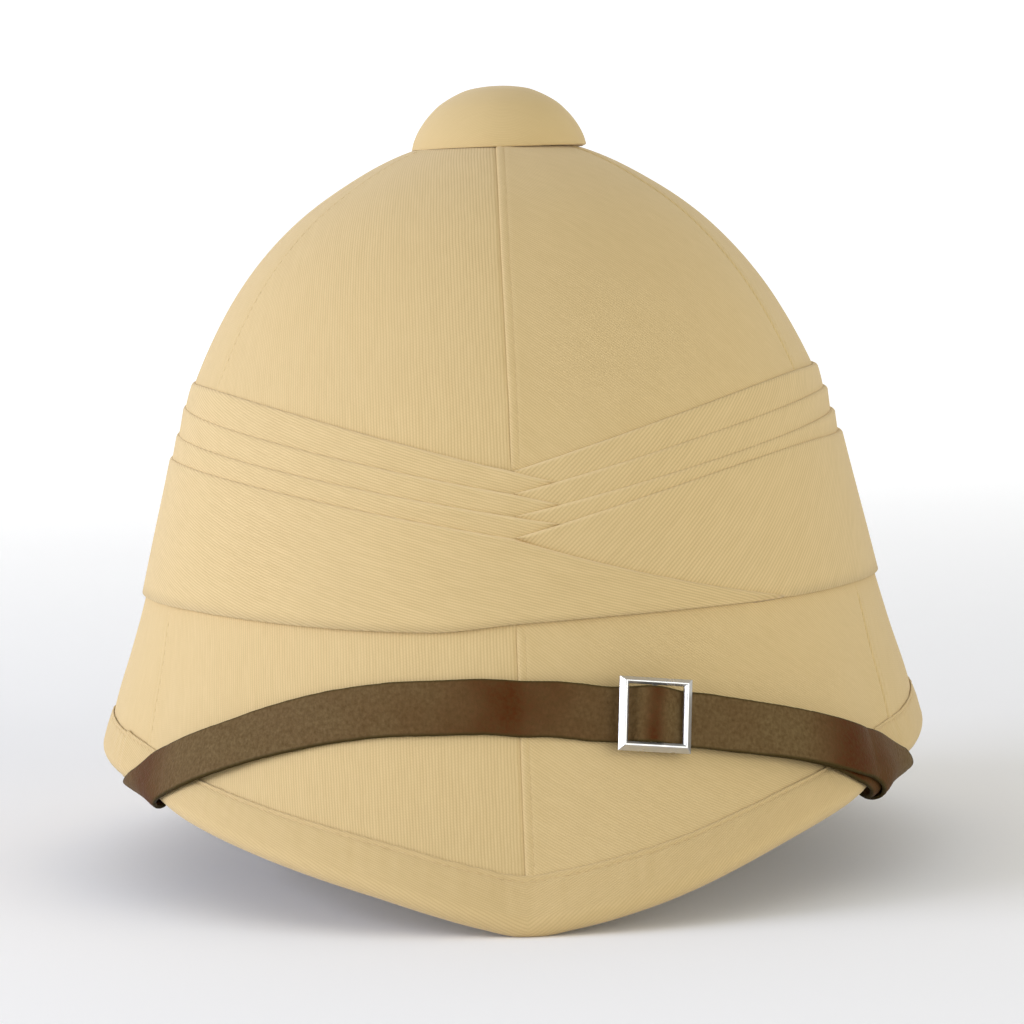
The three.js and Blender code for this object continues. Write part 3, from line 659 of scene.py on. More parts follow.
def add_stitches(name, rings):
    """One mesh of all the stitches of a seam."""
    count = len(rings)
    quads, row, column = grid_faces(STITCH_STATIONS, THREAD_SIDES, wrap_columns=True)
    size = STITCH_STATIONS * THREAD_SIDES
    numbers = np.arange(count)
    all_quads = (quads[None] + numbers[:, None, None] * size).reshape(-1, 4)
    along = row[None] * STITCH_MAP_STEP + numbers[:, None, None]
    around = np.broadcast_to(column[None] * THREAD_MAP_STEP, along.shape)
    caps = [first + cap for cap in end_caps(STITCH_STATIONS, THREAD_SIDES) for first in numbers * size]
    return add_piece(name, rings, all_quads, turned_map(along, around, THREAD_TWIST), [sewing_thread], caps)


seam_lines, seam_normals = [], []
for seam, _, _, strength, band_top in GORES:
    seam_turn = math.radians(seam)
    high_end = level_at_height(seam_turn, band_top + SEAM_OVER_BAND)
    high_stretch = np.linspace(SEAM_TOP_LEVEL, high_end, SEAM_HIGH_POINTS)
    low_start = level_at_height(seam_turn, BAND_FOOT - SEAM_UNDER_BAND)
    low_end = level_at_distance(seam_turn, SEAM_LOW_DISTANCE)
    low_stretch = np.linspace(low_start, low_end, SEAM_LOW_POINTS)
    for stretch in (high_stretch, low_stretch):
        turns = seam_turn + LAP_STITCH_LINE / girth_per_radian(seam_turn, stretch)
        seam_lines.append(off_skin(turns, stretch, LAP_STITCH_LIFT * strength))
        seam_normals.append(wall_frame(turns, stretch)[0])
seam_rings = stitch_rows(seam_lines, seam_normals, SEAM_THREAD, SEAM_STITCH, SEAM_GAP)
seam_stitches = add_stitches("seam_stitches", seam_rings)
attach(seam_stitches, "root")

# Crown button: a domed disc covered in khaki twill, its edge turned under, screwed down over the vent.
# It sits a hair towards the wearer's left and a hair high there.
BUTTON_TURN = 0.45
BUTTON_CLEARANCE = 0.25
BUTTON_HIGH_SIDE = 0.25
BUTTON_ASIDE = 0.7
BUTTON_COLUMNS = 120
BUTTON_DOME_ROWS = 46
BUTTON_DOME_START = 0.8
BUTTON_TURN_ROWS = 6
BUTTON_TURN_START = 15
BUTTON_UNDER_ROWS = 10
BUTTON_UNDER_IN = 1.2
BUTTON_UNDER_MIDDLE = 2.0
BUTTON_MAP_START = 0.7
BUTTON_SEARCH_LEVELS = (1e-3, 4.0)

# Dome from its top down: radius, height
BUTTON_DOME = np.array([
    (0.0, BUTTON_TOP),
    (5.2, 222.7),
    (10.2, 221.6),
    (16.7, 218.2),
    (20.5, 214.7),
    (23.2, 211.1),
    (24.9, 207.7),
    (25.6, 205.2),
])


def crown_height_over(x, y):
    """Height of the crown over points near its apex."""
    inner, outer = (np.full(x.shape, level) for level in BUTTON_SEARCH_LEVELS)
    for _ in range(HALVINGS):
        middle = (inner + outer) / 2
        reach = np.where(y < 0, front_reach(middle), back_reach(middle))
        short = np.hypot(x / side_reach(middle), y / reach) > 1
        inner = np.where(short, middle, inner)
        outer = np.where(short, outer, middle)
    return plain_height(outer)


button_radius, button_edge = BUTTON_DOME[-1]
button_turns = np.linspace(0, 2 * math.pi, BUTTON_COLUMNS, endpoint=False)
dome_lengths = lengths_along(BUTTON_DOME)
dome_stations = np.linspace(BUTTON_DOME_START, dome_lengths[-1], BUTTON_DOME_ROWS)
dome_radii = smooth_curve(dome_lengths, BUTTON_DOME[:, 0])(dome_stations)
dome_heights = smooth_curve(dome_lengths, BUTTON_DOME[:, 1], True)(dome_stations)
turn_angles = np.radians(np.linspace(BUTTON_TURN_START, 90, BUTTON_TURN_ROWS))
button_radii = np.r_[
    dome_radii,
    button_radius - BUTTON_TURN * (1 - np.cos(turn_angles)),
    np.linspace(button_radius - BUTTON_UNDER_IN, BUTTON_UNDER_MIDDLE, BUTTON_UNDER_ROWS),
]
button_heights = np.r_[
    dome_heights,
    button_edge - BUTTON_TURN * np.sin(turn_angles),
    np.zeros(BUTTON_UNDER_ROWS),
]
button_x = button_radii[:, None] * np.sin(button_turns)[None, :]
button_y = -button_radii[:, None] * np.cos(button_turns)[None, :]
button_lift = BUTTON_HIGH_SIDE * button_x / button_radius
button_under = crown_height_over(button_x + BUTTON_ASIDE, button_y) + BUTTON_CLEARANCE
button_z = np.where(button_heights[:, None] > 0, button_heights[:, None] + button_lift, button_under)
button_points = np.stack([button_x + BUTTON_ASIDE, button_y, np.maximum(button_z, button_under)], axis=-1)
button_quads, row, column = grid_faces(len(button_radii), BUTTON_COLUMNS, wrap_columns=True)
button_profile = np.stack([button_radii, np.where(button_heights > 0, button_heights, button_edge)], axis=-1)
button_arcs = BUTTON_MAP_START + lengths_along(button_profile)
map_turns = np.r_[button_turns, 2 * math.pi]
button_map = np.stack([
    button_arcs[row] * np.sin(map_turns[column]),
    -button_arcs[row] * np.cos(map_turns[column]),
], axis=-1)
button_caps = end_caps(len(button_radii), BUTTON_COLUMNS)
button_twill = twill_cloth(
    "button_twill",
    rib_colour=(0.6, 0.45, 0.218),
    groove_colour=(0.535, 0.395, 0.18),
    faded_colour=(0.57, 0.43, 0.21),
    pitch=0.00055,
    relief_strength=0.25,
)
button_cloth = add_piece("button_cloth", button_points, button_quads, button_map, [button_twill], button_caps)
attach(button_cloth, "root")
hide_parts("crown_button")

# Pugaree: one long scarf of twill folded and wound round the crown in three narrow pleats and a wide turn.
# The ends cross at the front, each later pleat lying over the one before, and the last end is lapped over.
LEFT, RIGHT = 1, -1

# Pleats: piece, node, top at the front and at its highest on the left and on the right, degrees that each
# side takes to rise, fall per degree past the front, lift of the shoulder and of the hem off the wall
PLEATS = [
    ("pugaree_pleat_1", "pugaree_fold_1", 116.6, 139.0, 139.0, 74, 78, 0.50, 0.75, 0.95),
    ("pugaree_pleat_2", "pugaree_fold_2", 110.5, 132.2, 132.2, 84, 95, 0.45, 1.45, 1.4),
    ("pugaree_pleat_3", "pugaree_fold_3", 104.5, 125.4, 124.0, 88, 92, 0.35, 1.9, 1.7),
    ("pugaree_wide_turn", "pugaree_band", 98.8, 119.0, 117.0, 68, 84, 0.62, 2.3, 1.35),
]

# Bend of the fall past the front, and the degrees over which the left side comes to the right one's height
PLEAT_TAIL_BEND = 0.0035
PLEAT_EVEN = (105.0, 175.0)

# Lower edge of the wide turn: azimuth, height
PUGAREE_LOW = np.array([
    (-180, 77.5),
    (-60, 77.8),
    (-12, 74.7),
    (0, 76.4),
    (20, 77.7),
    (48, 78.1),
    (62, 78.4),
    (180, 77.5),
])

# Nose of a pleat: drop from its top and lift from the cloth under it, as shares of the shoulder's
PLEAT_NOSE = np.array([
    (1.6, -0.25),
    (0.15, -0.25),
    (0.0, 0.0),
    (0.04, 0.3),
    (0.2, 0.62),
    (0.5, 0.86),
    (1.0, 1.0),
])

# Stand of the shoulders off the wall, where the scarf has loosened: azimuth, extra lift
PLEAT_STAND = np.array([
    (-180, 0.1),
    (-60, 0.1),
    (-12, 0.35),
    (12, 0.2),
    (45, 0.1),
    (75, 0.6),
    (105, 0.6),
    (180, 0.1),
])

# Fold of a pleat: drop from its top to the shoulder, most share of its width for that, foot of the nose in
# drops, seat on the wall, thickness of the cloth, tuck under the next pleat
PLEAT_DROP = 1.0
PLEAT_DROP_SHARE = 0.4
PLEAT_NOSE_FOOT = 2.75
PLEAT_SEAT = 0.15
PLEAT_CLOTH = 0.45
PLEAT_TUCK = 1.5
PLEAT_TUCK_EDGE = 0.1

# Degrees over which a right end climbs its left end, least width of a pleat, steps of the mesh, end of lap
PLEAT_CROSSING = (-6.0, 0.0)
PLEAT_LEAST = 0.35
PLEAT_FRONT_REACH = 9.0
PLEAT_FRONT_STEP = 0.25
PLEAT_STEP = 1.25
PLEAT_LAP = 54.0
PLEAT_FACE_ROWS = 9

# Twill of the two ends: its direction, width of its ribs over the usual
PLEAT_TWILL = {LEFT: 40.0, RIGHT: -16.0}
PLEAT_RIB = {LEFT: 1.4, RIGHT: 1.1}

# Painted highlight on the noses at the front, where they catch the light: degrees it reaches, its first
# point, share at each point from there
PLEAT_HIGHLIGHT_REACH = 26.0
PLEAT_HIGHLIGHT_START = 2
PLEAT_NOSE_HIGHLIGHT = np.array([0.6, 1.0, 1.0, 0.9, 0.5, 0.0])

pugaree_low = smooth_curve(PUGAREE_LOW[:, 0], PUGAREE_LOW[:, 1], True, True)
pleat_stand = smooth_curve(PLEAT_STAND[:, 0], PLEAT_STAND[:, 1], True, True)


def pleat_top(index, degrees, side):
    """Top line of a pleat on one side; past the front it falls away under the pleats that cross it."""
    if index >= len(PLEATS):
        return pugaree_low(degrees)
    _, _, front, left_high, right_high, left_rise, right_rise, tail, _, _ = PLEATS[index]
    away = degrees * side
    left_share = np.where(side == LEFT, 1 - smoothstep(away, *PLEAT_EVEN), 0.0)
    high = right_high + (left_high - right_high) * left_share
    rise = np.where(side == LEFT, left_rise, right_rise)
    climb = np.sin(math.pi / 2 * np.clip(away / rise, 0, 1))
    past = np.maximum(away, -tail / (2 * PLEAT_TAIL_BEND))
    falling = front + tail * past + PLEAT_TAIL_BEND * past ** 2
    return np.where(away < 0, falling, front + (high - front) * climb)


def pleat_low(index, degrees, side):
    """Lower line of a pleat: the pleats wound later cover it, and each right end lies over its left end."""
    next_left = pleat_top(index + 1, degrees, LEFT)
    own_right = pleat_top(index, degrees, RIGHT)
    next_right = pleat_top(index + 1, degrees, RIGHT)
    return np.maximum(next_left, np.where(side == LEFT, own_right, next_right))


pugaree_twill = twill_cloth(
    "pugaree_twill",
    rib_colour=(0.655, 0.492, 0.243),
    groove_colour=(0.47, 0.338, 0.147),
    faded_colour=(0.58, 0.44, 0.222),
    pitch=0.00064,
    relief_strength=0.4,
    nose_highlight_colour=(0.71, 0.55, 0.293),
)
front_degrees = np.arange(-PLEAT_FRONT_REACH, PLEAT_FRONT_REACH, PLEAT_FRONT_STEP)
side_degrees = np.arange(PLEAT_FRONT_REACH, 180.0, PLEAT_STEP)
lap_degrees = side_degrees[side_degrees <= PLEAT_LAP]
left_degrees = np.r_[front_degrees, side_degrees, 180.0]
right_degrees = np.r_[-side_degrees[::-1], front_degrees[1:], lap_degrees]
pleat_degrees = np.r_[left_degrees, right_degrees]
pleat_sides = np.repeat([LEFT, RIGHT], [len(left_degrees), len(right_degrees)])

cloth_under = PLEAT_SEAT
for index, (name, node, *_, shoulder, hem) in enumerate(PLEATS):
    tops = pleat_top(index, pleat_degrees, pleat_sides)
    lows = pleat_low(index, pleat_degrees, pleat_sides)
    kept = tops - lows >= PLEAT_LEAST
    tops, lows, sides, degrees = tops[kept], lows[kept], pleat_sides[kept], pleat_degrees[kept]
    tucks = np.full(len(lows), PLEAT_TUCK)
    if index == len(PLEATS) - 1:
        tucks = np.clip(lows - pugaree_low(degrees), 0.0, PLEAT_TUCK)
    crossing = np.where(sides == RIGHT, smoothstep(degrees, *PLEAT_CROSSING), 0.0)
    under_lift = cloth_under + (hem - cloth_under) * crossing
    shoulder_lift = np.maximum(shoulder, under_lift + PLEAT_CLOTH) + pleat_stand(degrees)
    drops = np.minimum(PLEAT_DROP, PLEAT_DROP_SHARE * (tops - lows))
    nose_levels = tops[:, None] - PLEAT_NOSE[None, :, 0] * drops[:, None]
    nose_lifts = under_lift[:, None] + PLEAT_NOSE[None, :, 1] * (shoulder_lift - under_lift)[:, None]
    shares = np.linspace(0, 1, PLEAT_FACE_ROWS + 1)[None, 1:]
    shoulder_levels = tops - drops
    face_levels = shoulder_levels[:, None] + (lows - shoulder_levels)[:, None] * shares
    face_lifts = shoulder_lift[:, None] + (hem - shoulder_lift)[:, None] * shares
    tuck_levels = (lows - tucks)[:, None] + np.array([[0.0, PLEAT_TUCK_EDGE]])
    tucked_hem = hem - PLEAT_CLOTH * (1 - tucks / PLEAT_TUCK)
    tuck_lifts = np.stack([tucked_hem, np.full(len(lows), PLEAT_SEAT)], axis=1)
    foot_levels = (tops - PLEAT_NOSE_FOOT * drops)[:, None]
    foot_lifts = np.full(foot_levels.shape, PLEAT_SEAT)
    levels = np.concatenate([foot_levels, nose_levels, face_levels, tuck_levels], axis=1)
    lifts = np.concatenate([foot_lifts, nose_lifts, face_lifts, tuck_lifts], axis=1)
    turns = np.radians(degrees)
    pleat_points = off_skin(turns[:, None], level_at_height(turns[:, None], levels), lifts)
    sections, section_size = levels.shape
    quads, row, column = grid_faces(sections, section_size, wrap_columns=True)
    along = lengths_along(pleat_points[:, len(PLEAT_NOSE)])
    levels_round = np.concatenate([levels, levels[:, :1]], axis=1)
    on_left = sides[row[:, :1]] == LEFT
    quad_twill = np.where(on_left, PLEAT_TWILL[LEFT], PLEAT_TWILL[RIGHT])
    quad_rib = np.where(on_left, PLEAT_RIB[LEFT], PLEAT_RIB[RIGHT])
    pleat_map = turned_map(along[row], levels_round[row, column], quad_twill) / quad_rib[..., None]
    caps = end_caps(sections, section_size)
    pleat = add_piece(name, pleat_points, quads, pleat_map, [pugaree_twill], caps)
    # Painted highlight along each pleat's nose, strongest at the front; the fold attribute carries it to the
    # material
    nose_highlight_share = np.zeros((sections, section_size))
    nose_highlight_share[:, PLEAT_HIGHLIGHT_START:PLEAT_HIGHLIGHT_START + len(PLEAT_NOSE_HIGHLIGHT)] = PLEAT_NOSE_HIGHLIGHT[None, :]
    nose_highlight_share *= np.exp(-(degrees / PLEAT_HIGHLIGHT_REACH) ** 2)[:, None]
    pleat.data.attributes.new("fold", "FLOAT", "POINT").data.foreach_set("value", nose_highlight_share.ravel())
    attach(pleat, "root")
    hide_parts(node)
    cloth_under = hem

# Rim binding: a bias strip of twill folded over the edge of the brim, its raw edges turned in, and sewn
# through with one row of stitches just inside its upper edge. Its ends lap on the wearer's right.

# Strip: width outside at the sides, more at the front and back, width inside, lift at the rim, its back, its
# mesh and the direction of its twill on each side
BINDING_SIDE = 9.2
BINDING_FRONT = 3.0
BINDING_INSIDE = 9.0
BINDING_LIFT = 1.25
BINDING_BACK = 0.1
BINDING_BACK_IN = 1.0
BINDING_COLUMNS = 1200
BINDING_EDGE_STEPS = 15
BINDING_TWILL = {LEFT: 24.0, RIGHT: -12.0}

# Row of stitches: distance in from the edge and its growth at the front, lift, thread, stitch, gap, points
BINDING_STITCH_IN = 1.0
BINDING_FRONT_STITCH_IN = 0.8
BINDING_STITCH_LIFT = 0.46
BINDING_THREAD = 0.14
BINDING_STITCH = 2.2
BINDING_STITCH_GAP = 0.7
BINDING_STITCH_POINTS = 2401

# Puckers between the stitches: height, columns over which they are smoothed, seed
BINDING_PUCKER = 0.07
BINDING_PUCKER_COLUMNS = 7
BINDING_PUCKER_SEED = 11

# Lapped join: azimuth, degrees over which it fades, step of the edge there, lift
BINDING_JOIN = -72.0
BINDING_JOIN_FADE = 4.0
BINDING_JOIN_STEP = 0.9
BINDING_JOIN_LIFT = 0.35

# Upper edge of the strip: distance in from it, lift; the dip is the row of stitches
BINDING_EDGE = np.array([
    (0.15, 0.12),
    (0.0, 0.25),
    (0.05, 0.45),
    (0.25, 0.6),
    (0.6, 0.66),
    (0.85, 0.52),
    (1.0, 0.44),
    (1.15, 0.52),
    (1.5, 0.7),
    (2.2, 0.8),
    (3.5, 0.92),
    (5.0, 1.08),
])

binding_twill = twill_cloth(
    "binding_twill",
    rib_colour=(0.605, 0.45, 0.217),
    groove_colour=(0.485, 0.347, 0.15),
    faded_colour=(0.555, 0.418, 0.207),
    pitch=0.00066,
    relief_strength=0.45,
)


def binding_width(azimuth):
    """Width of the strip outside, widest at the front and the back."""
    return BINDING_SIDE + BINDING_FRONT * np.abs(np.cos(azimuth)) ** 3


binding_turns = np.linspace(-math.pi, math.pi, BINDING_COLUMNS, endpoint=False)
past_join = np.degrees(binding_turns) - BINDING_JOIN
lapped = np.where(past_join >= 0, np.exp(-np.maximum(past_join, 0) / BINDING_JOIN_FADE), 0.0)
puckers = np.random.default_rng(BINDING_PUCKER_SEED).normal(0, 1, BINDING_COLUMNS)
beyond = BINDING_PUCKER_COLUMNS // 2
puckers_round = np.r_[puckers[-beyond:], puckers, puckers[:beyond]]
puckers = np.convolve(puckers_round, np.hanning(BINDING_PUCKER_COLUMNS) / 2, "valid") * BINDING_PUCKER
edge_stretch = 1 + BINDING_FRONT_STITCH_IN * np.maximum(np.cos(binding_turns), 0) ** 6
widths = binding_width(binding_turns) + BINDING_JOIN_STEP * lapped + puckers
outer_along = widths[:, None] - BINDING_EDGE[None, :, 0] * edge_stretch[:, None]
outer_lift = BINDING_EDGE[None, :, 1] * (1 + puckers[:, None])
edge_along = np.tile(-math.pi * WALL / 2 * np.linspace(0, 1, BINDING_EDGE_STEPS), (BINDING_COLUMNS, 1))
inner_reach = math.pi * WALL / 2 + BINDING_INSIDE
inner_along = np.tile(-inner_reach + BINDING_EDGE[::-1, 0], (BINDING_COLUMNS, 1))
inner_lift = np.tile(BINDING_EDGE[::-1, 1], (BINDING_COLUMNS, 1))
back_along = np.concatenate([
    inner_along[:, -1:] + BINDING_BACK_IN,
    edge_along[:, ::-2],
    outer_along[:, :1] - BINDING_BACK_IN,
], axis=1)
join_lift = BINDING_JOIN_LIFT * lapped[:, None]
binding_along = np.concatenate([outer_along, edge_along, inner_along, back_along], axis=1)
binding_lifts = np.concatenate([
    outer_lift + join_lift,
    np.full(edge_along.shape, BINDING_LIFT) + join_lift,
    inner_lift + join_lift,
    np.full(back_along.shape, BINDING_BACK),
], axis=1)
binding_points = on_wall(binding_turns[:, None], binding_along, binding_lifts)
binding_points[..., 2] = np.maximum(binding_points[..., 2], -crown_axis[2] / MM)
quads, row, column = grid_faces(BINDING_COLUMNS, binding_along.shape[1], True, True)
rim_line = binding_points[:, len(BINDING_EDGE)]
rim_along = lengths_along(np.concatenate([rim_line, rim_line[:1]]))
along_round = np.concatenate([binding_along, binding_along[:, :1]], axis=1)
along_round = np.concatenate([along_round, along_round[:1]])
binding_angles = np.where(row[:, :1] >= BINDING_COLUMNS // 2, BINDING_TWILL[LEFT], BINDING_TWILL[RIGHT])
from_tip = rim_along - rim_along[BINDING_COLUMNS // 2]
binding_map = turned_map(from_tip[row], along_round[row, column], binding_angles)
rim_binding = add_piece("rim_binding", binding_points, quads, binding_map, [binding_twill])
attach(rim_binding, "root")
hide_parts("brim_binding")

stitch_turns = np.linspace(-math.pi, math.pi, BINDING_STITCH_POINTS)
binding_round = np.r_[binding_turns, math.pi]
stitch_rows_out = widths - BINDING_STITCH_IN * edge_stretch
stitch_out = np.interp(stitch_turns, binding_round, np.r_[stitch_rows_out, stitch_rows_out[0]])
stitch_join = np.interp(stitch_turns, binding_round, np.r_[lapped, lapped[0]])
stitch_in = np.full(stitch_turns.shape, -inner_reach + BINDING_STITCH_IN)
stitch_lines, stitch_normals = [], []
for stitch_along in (stitch_out, stitch_in):
    line = on_wall(stitch_turns, stitch_along, BINDING_STITCH_LIFT + BINDING_JOIN_LIFT * stitch_join)
    stitch_lines.append(line)
    stitch_normals.append(unit(line - on_wall(stitch_turns, stitch_along, 0.0)))
rim_rings = stitch_rows(stitch_lines, stitch_normals, BINDING_THREAD, BINDING_STITCH, BINDING_STITCH_GAP)
rim_stitches = add_stitches("rim_stitches", rim_rings)
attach(rim_stitches, "root")

# Chin strap: one brown leather strap 15 mm wide, laid over the peak, round the rim at both sides and up
# inside to a rivet each. A second layer runs under it from the buckle to the wearer's left.

# Leather: width, thickness, gap to the cloth, lift inside and over the binding, radius of its turn at the rim
STRAP_WIDTH = 15.0
STRAP_LEATHER = 1.3
STRAP_SEAT = 0.4
STRAP_INSIDE_LIFT = 0.25
STRAP_OVER_BINDING = 1.3
STRAP_TURN = WALL / 2 + STRAP_OVER_BINDING + STRAP_SEAT + STRAP_LEATHER / 2
STRAP_SETTLE_OUTSIDE = (0.5, 24.0)
STRAP_SETTLE_INSIDE = (0.5, 7.0)

# Mesh: step along the strap, face and back of its section, unevenness of its sides
STRAP_STEP = 0.8
STRAP_FACE_IN = 2.2
STRAP_FACE_POINTS = 13
STRAP_FACE_SWELL = 1.06
STRAP_FACE_CROWN = 0.03
STRAP_BACK_IN = 1.5
STRAP_BACK_POINTS = 7
STRAP_WOBBLE = 0.07
STRAP_WOBBLE_POINTS = 9

# Way through the buckle: its azimuth, height over the centre bar, climb to it and fall from it, and how far
# the leather shifts up and spreads in the window
BUCKLE_AZIMUTH = 17.8
BUCKLE_STRAP_OVER = 4.1
BUCKLE_CLIMB = (-11.5, -3.5)
BUCKLE_FALL = (0.8, 7.0)
BUCKLE_STRAP_RISE = 0.8
BUCKLE_STRAP_REACH = 8.0
BUCKLE_STRAP_SPREAD = 0.2
BUCKLE_SPREAD_REACH = 6.5
BUCKLE_SEARCH_POINTS = 4000

# Second layer: gap to the first, start past the buckle, tuck under the first, slip towards the rim
LAYER_GAP = 0.6
LAYER_START = 1.5
LAYER_TUCK = 0.4
LAYER_SLIP = 2.2
LAYER_SLIP_REACH = (62.0, 88.0)

# Line of the strap: azimuth, distance up from the rim (below 0 when inside), degrees by which its upper
# edge stands off (below 0 where its lower edge does)
MM_PER_DEGREE = 2.1
STRAP_LINE = np.array([
    (-89, -48.0, 0.0),
    (-80, -31.0, 0.0),
    (-71, -15.0, -1.0),
    (-60.8, 0.5, -4.0),
    (-54, 8.9, 1.0),
    (-44, 21.9, 2.0),
    (-36.5, 31.6, 0.0),
    (-25.5, 43.2, 0.0),
    (-12, 53.3, 0.0),
    (0, 58.4, 3.0),
    (13, 51.2, 12.0),
    (24, 41.4, 12.5),
    (28, 36.9, 12.5),
    (41, 21.3, 10.0),
    (50, 9.9, 5.0),
    (57.6, 0.5, -8.0),
    (67.5, -15.0, -3.0),
    (78, -31.0, 0.0),
    (88, -48.0, 0.0),
])

# Places darker and redder than the rest: azimuth, reach in degrees, share. At the front the leather is worn
# by handling;
# over the buckle's centre bar the darkening is painted shade, and where the strap turns round the rim it is
# real colour and painted shade together
STRAP_WORN_AND_SHADED = [
    (-61.0, 5.0, 0.9),
    (-1.5, 12.0, 0.72),
    (-1.0, 4.0, 0.85),
    (17.6, 1.3, 0.8),
    (48.5, 6.0, 0.9),
    (55.0, 5.5, 0.7),
]

# Cut edge of the leather: distance in from the side, share of the thickness
STRAP_EDGE = np.array([
    (0.3, 0.0),
    (0.08, 0.12),
    (0.0, 0.4),
    (0.03, 0.7),
    (0.16, 0.88),
    (0.42, 0.98),
    (0.9, 1.03),
])

unrolled = STRAP_LINE[:, :2] * (MM_PER_DEGREE, 1.0)
unrolled_lengths = lengths_along(unrolled)
strap_length = unrolled_lengths[-1]
line_azimuth = smooth_curve(unrolled_lengths, np.radians(STRAP_LINE[:, 0]))
line_along = smooth_curve(unrolled_lengths, STRAP_LINE[:, 1])
line_tilt = smooth_curve(np.radians(STRAP_LINE[:, 0]), np.radians(STRAP_LINE[:, 2]), True, True)


def strap_middle(azimuth, along):
    """Point in the middle of the leather."""
    return on_wall(azimuth, along, STRAP_TURN - WALL / 2, STRAP_TURN)


def strap_place(distance):
    """Place on the strap's line: its azimuth, distance and tilt, their step for 1 mm across, and its axes."""
    azimuth = line_azimuth(distance)
    along = line_along(distance)
    step, turn_step, up_step = 0.05, 1e-3, 0.05
    turned = strap_middle(azimuth + turn_step, along) - strap_middle(azimuth - turn_step, along)
    raised = strap_middle(azimuth, along + up_step) - strap_middle(azimuth, along - up_step)
    per_radian = turned / (2 * turn_step)
    per_along = raised / (2 * up_step)
    turning = (line_azimuth(distance + step) - line_azimuth(distance - step))[..., None]
    rising = (line_along(distance + step) - line_along(distance - step))[..., None]
    ahead = unit(per_radian * turning + per_along * rising)
    out = unit(np.cross(per_radian, per_along))
    across = np.cross(out, ahead)
    round_square = (per_radian ** 2).sum(-1)
    up_square = (per_along ** 2).sum(-1)
    skew = (per_radian * per_along).sum(-1)
    across_round = (across * per_radian).sum(-1)
    across_up = (across * per_along).sum(-1)
    area_square = round_square * up_square - skew * skew
    return SimpleNamespace(
        azimuth=azimuth,
        along=along,
        tilt=line_tilt(azimuth),
        across_azimuth=(up_square * across_round - skew * across_up) / area_square,
        across_along=(round_square * across_up - skew * across_round) / area_square,
        origin=on_wall(azimuth, along, 0.0, STRAP_TURN),
        ahead=ahead,
        across=across,
        out=out,
    )


def tilted(side, level, tilt):
    """Offset and lift of a place on the strap, which stands off the wall about its lower or upper edge."""
    edge = np.where(tilt >= 0, -STRAP_WIDTH / 2, STRAP_WIDTH / 2)
    from_edge = side - edge
    offset = from_edge * np.cos(tilt) - level * np.sin(tilt) + edge
    return offset, from_edge * np.sin(tilt) + level * np.cos(tilt)


def binding_lift(azimuth, along):
    """Lift that carries the leather over the binding, and off the hollow wall inside."""
    outer_edge = binding_width(azimuth)
    inner_edge = math.pi * STRAP_TURN + BINDING_INSIDE
    off_outside = smoothstep(along - outer_edge, *STRAP_SETTLE_OUTSIDE)
    off_inside = smoothstep(-along - inner_edge, *STRAP_SETTLE_INSIDE)
    over = (STRAP_OVER_BINDING + STRAP_INSIDE_LIFT) * (1 - off_outside) * (1 - off_inside)
    return over + STRAP_INSIDE_LIFT * off_inside


search_distances = np.linspace(0, strap_length, BUCKLE_SEARCH_POINTS)
buckle_distance = np.interp(math.radians(BUCKLE_AZIMUTH), line_azimuth(search_distances), search_distances)
layer_step = STRAP_LEATHER + LAYER_GAP


def strap_lift(distance):
    """Way of the strap through the buckle: over its centre bar, then down onto the second layer."""
    past = distance - buckle_distance
    climbing = BUCKLE_STRAP_OVER * smoothstep(past, *BUCKLE_CLIMB)
    falling = BUCKLE_STRAP_OVER - (BUCKLE_STRAP_OVER - layer_step) * smoothstep(past, *BUCKLE_FALL)
    return np.where(past < 0, climbing, falling)


def strap_shift(distance):
    """Shift of the strap up the buckle's window."""
    return BUCKLE_STRAP_RISE * np.exp(-((distance - buckle_distance) / BUCKLE_STRAP_REACH) ** 2)


def strap_spread(distance):
    """Spread of the strap's sides in the buckle's window."""
    return BUCKLE_STRAP_SPREAD * np.exp(-((distance - buckle_distance) / BUCKLE_SPREAD_REACH) ** 4)


def layer_shift(distance):
    """Slip of the second layer: tucked under the first, then towards the rim past the bend."""
    slipped = smoothstep(distance - buckle_distance, *LAYER_SLIP_REACH)
    return LAYER_TUCK - (LAYER_TUCK + LAYER_SLIP) * slipped


def share_between(tree, value, low, high, most=1.0):
    """Share of a value between a low and a high one, up to the most."""
    made = tree.nodes.new("ShaderNodeMapRange")
    made.inputs["From Min"].default_value = low
    made.inputs["From Max"].default_value = high
    made.inputs["To Max"].default_value = most
    tree.links.new(value, made.inputs["Value"])
    return made.outputs[0]


# Leather: olive brown, redder and darker where it is handled and, as painted shade, over the buckle's bar and
# round the rim, with creases across it and a pebbled grain
LEATHER_OLIVE = (0.15, 0.1, 0.042)
LEATHER_RED = (0.074, 0.019, 0.003)
LEATHER_CREASE = (0.06, 0.031, 0.009)
LEATHER_SPECKLE = (0.075, 0.041, 0.012)
LEATHER_EDGE = (0.05, 0.035, 0.01)
LEATHER_EDGE_REACH = (0.0008, 0.0001)
CREASES_ALONG = 1200.0
CREASES_ACROSS = 480.0
PEBBLE_SCALE = 1400.0
WORN_PATCH_SCALE = 60.0
WORN_PATCH_START = 0.36
WORN_PATCH_GAIN = 0.9
FINE_GRAIN_SCALE = 900.0
FINE_GRAIN_START = 0.36
FINE_GRAIN_GAIN = 1.8
CREASE_REACH = (0.42, 0.72)
CREASE_SHARE = 0.25
CREASE_DEPTH = 0.7
CREASE_ROUGHNESS = 0.25
LEATHER_ROUGHNESS = 0.4
LEATHER_RELIEF = 0.6
LEATHER_GRAIN_DEPTH = 0.00018
strap_leather, leather_tree, leather_shader = new_material("strap_leather")
leather_map = leather_tree.nodes.new("ShaderNodeUVMap")
leather_map.uv_map = "cloth"
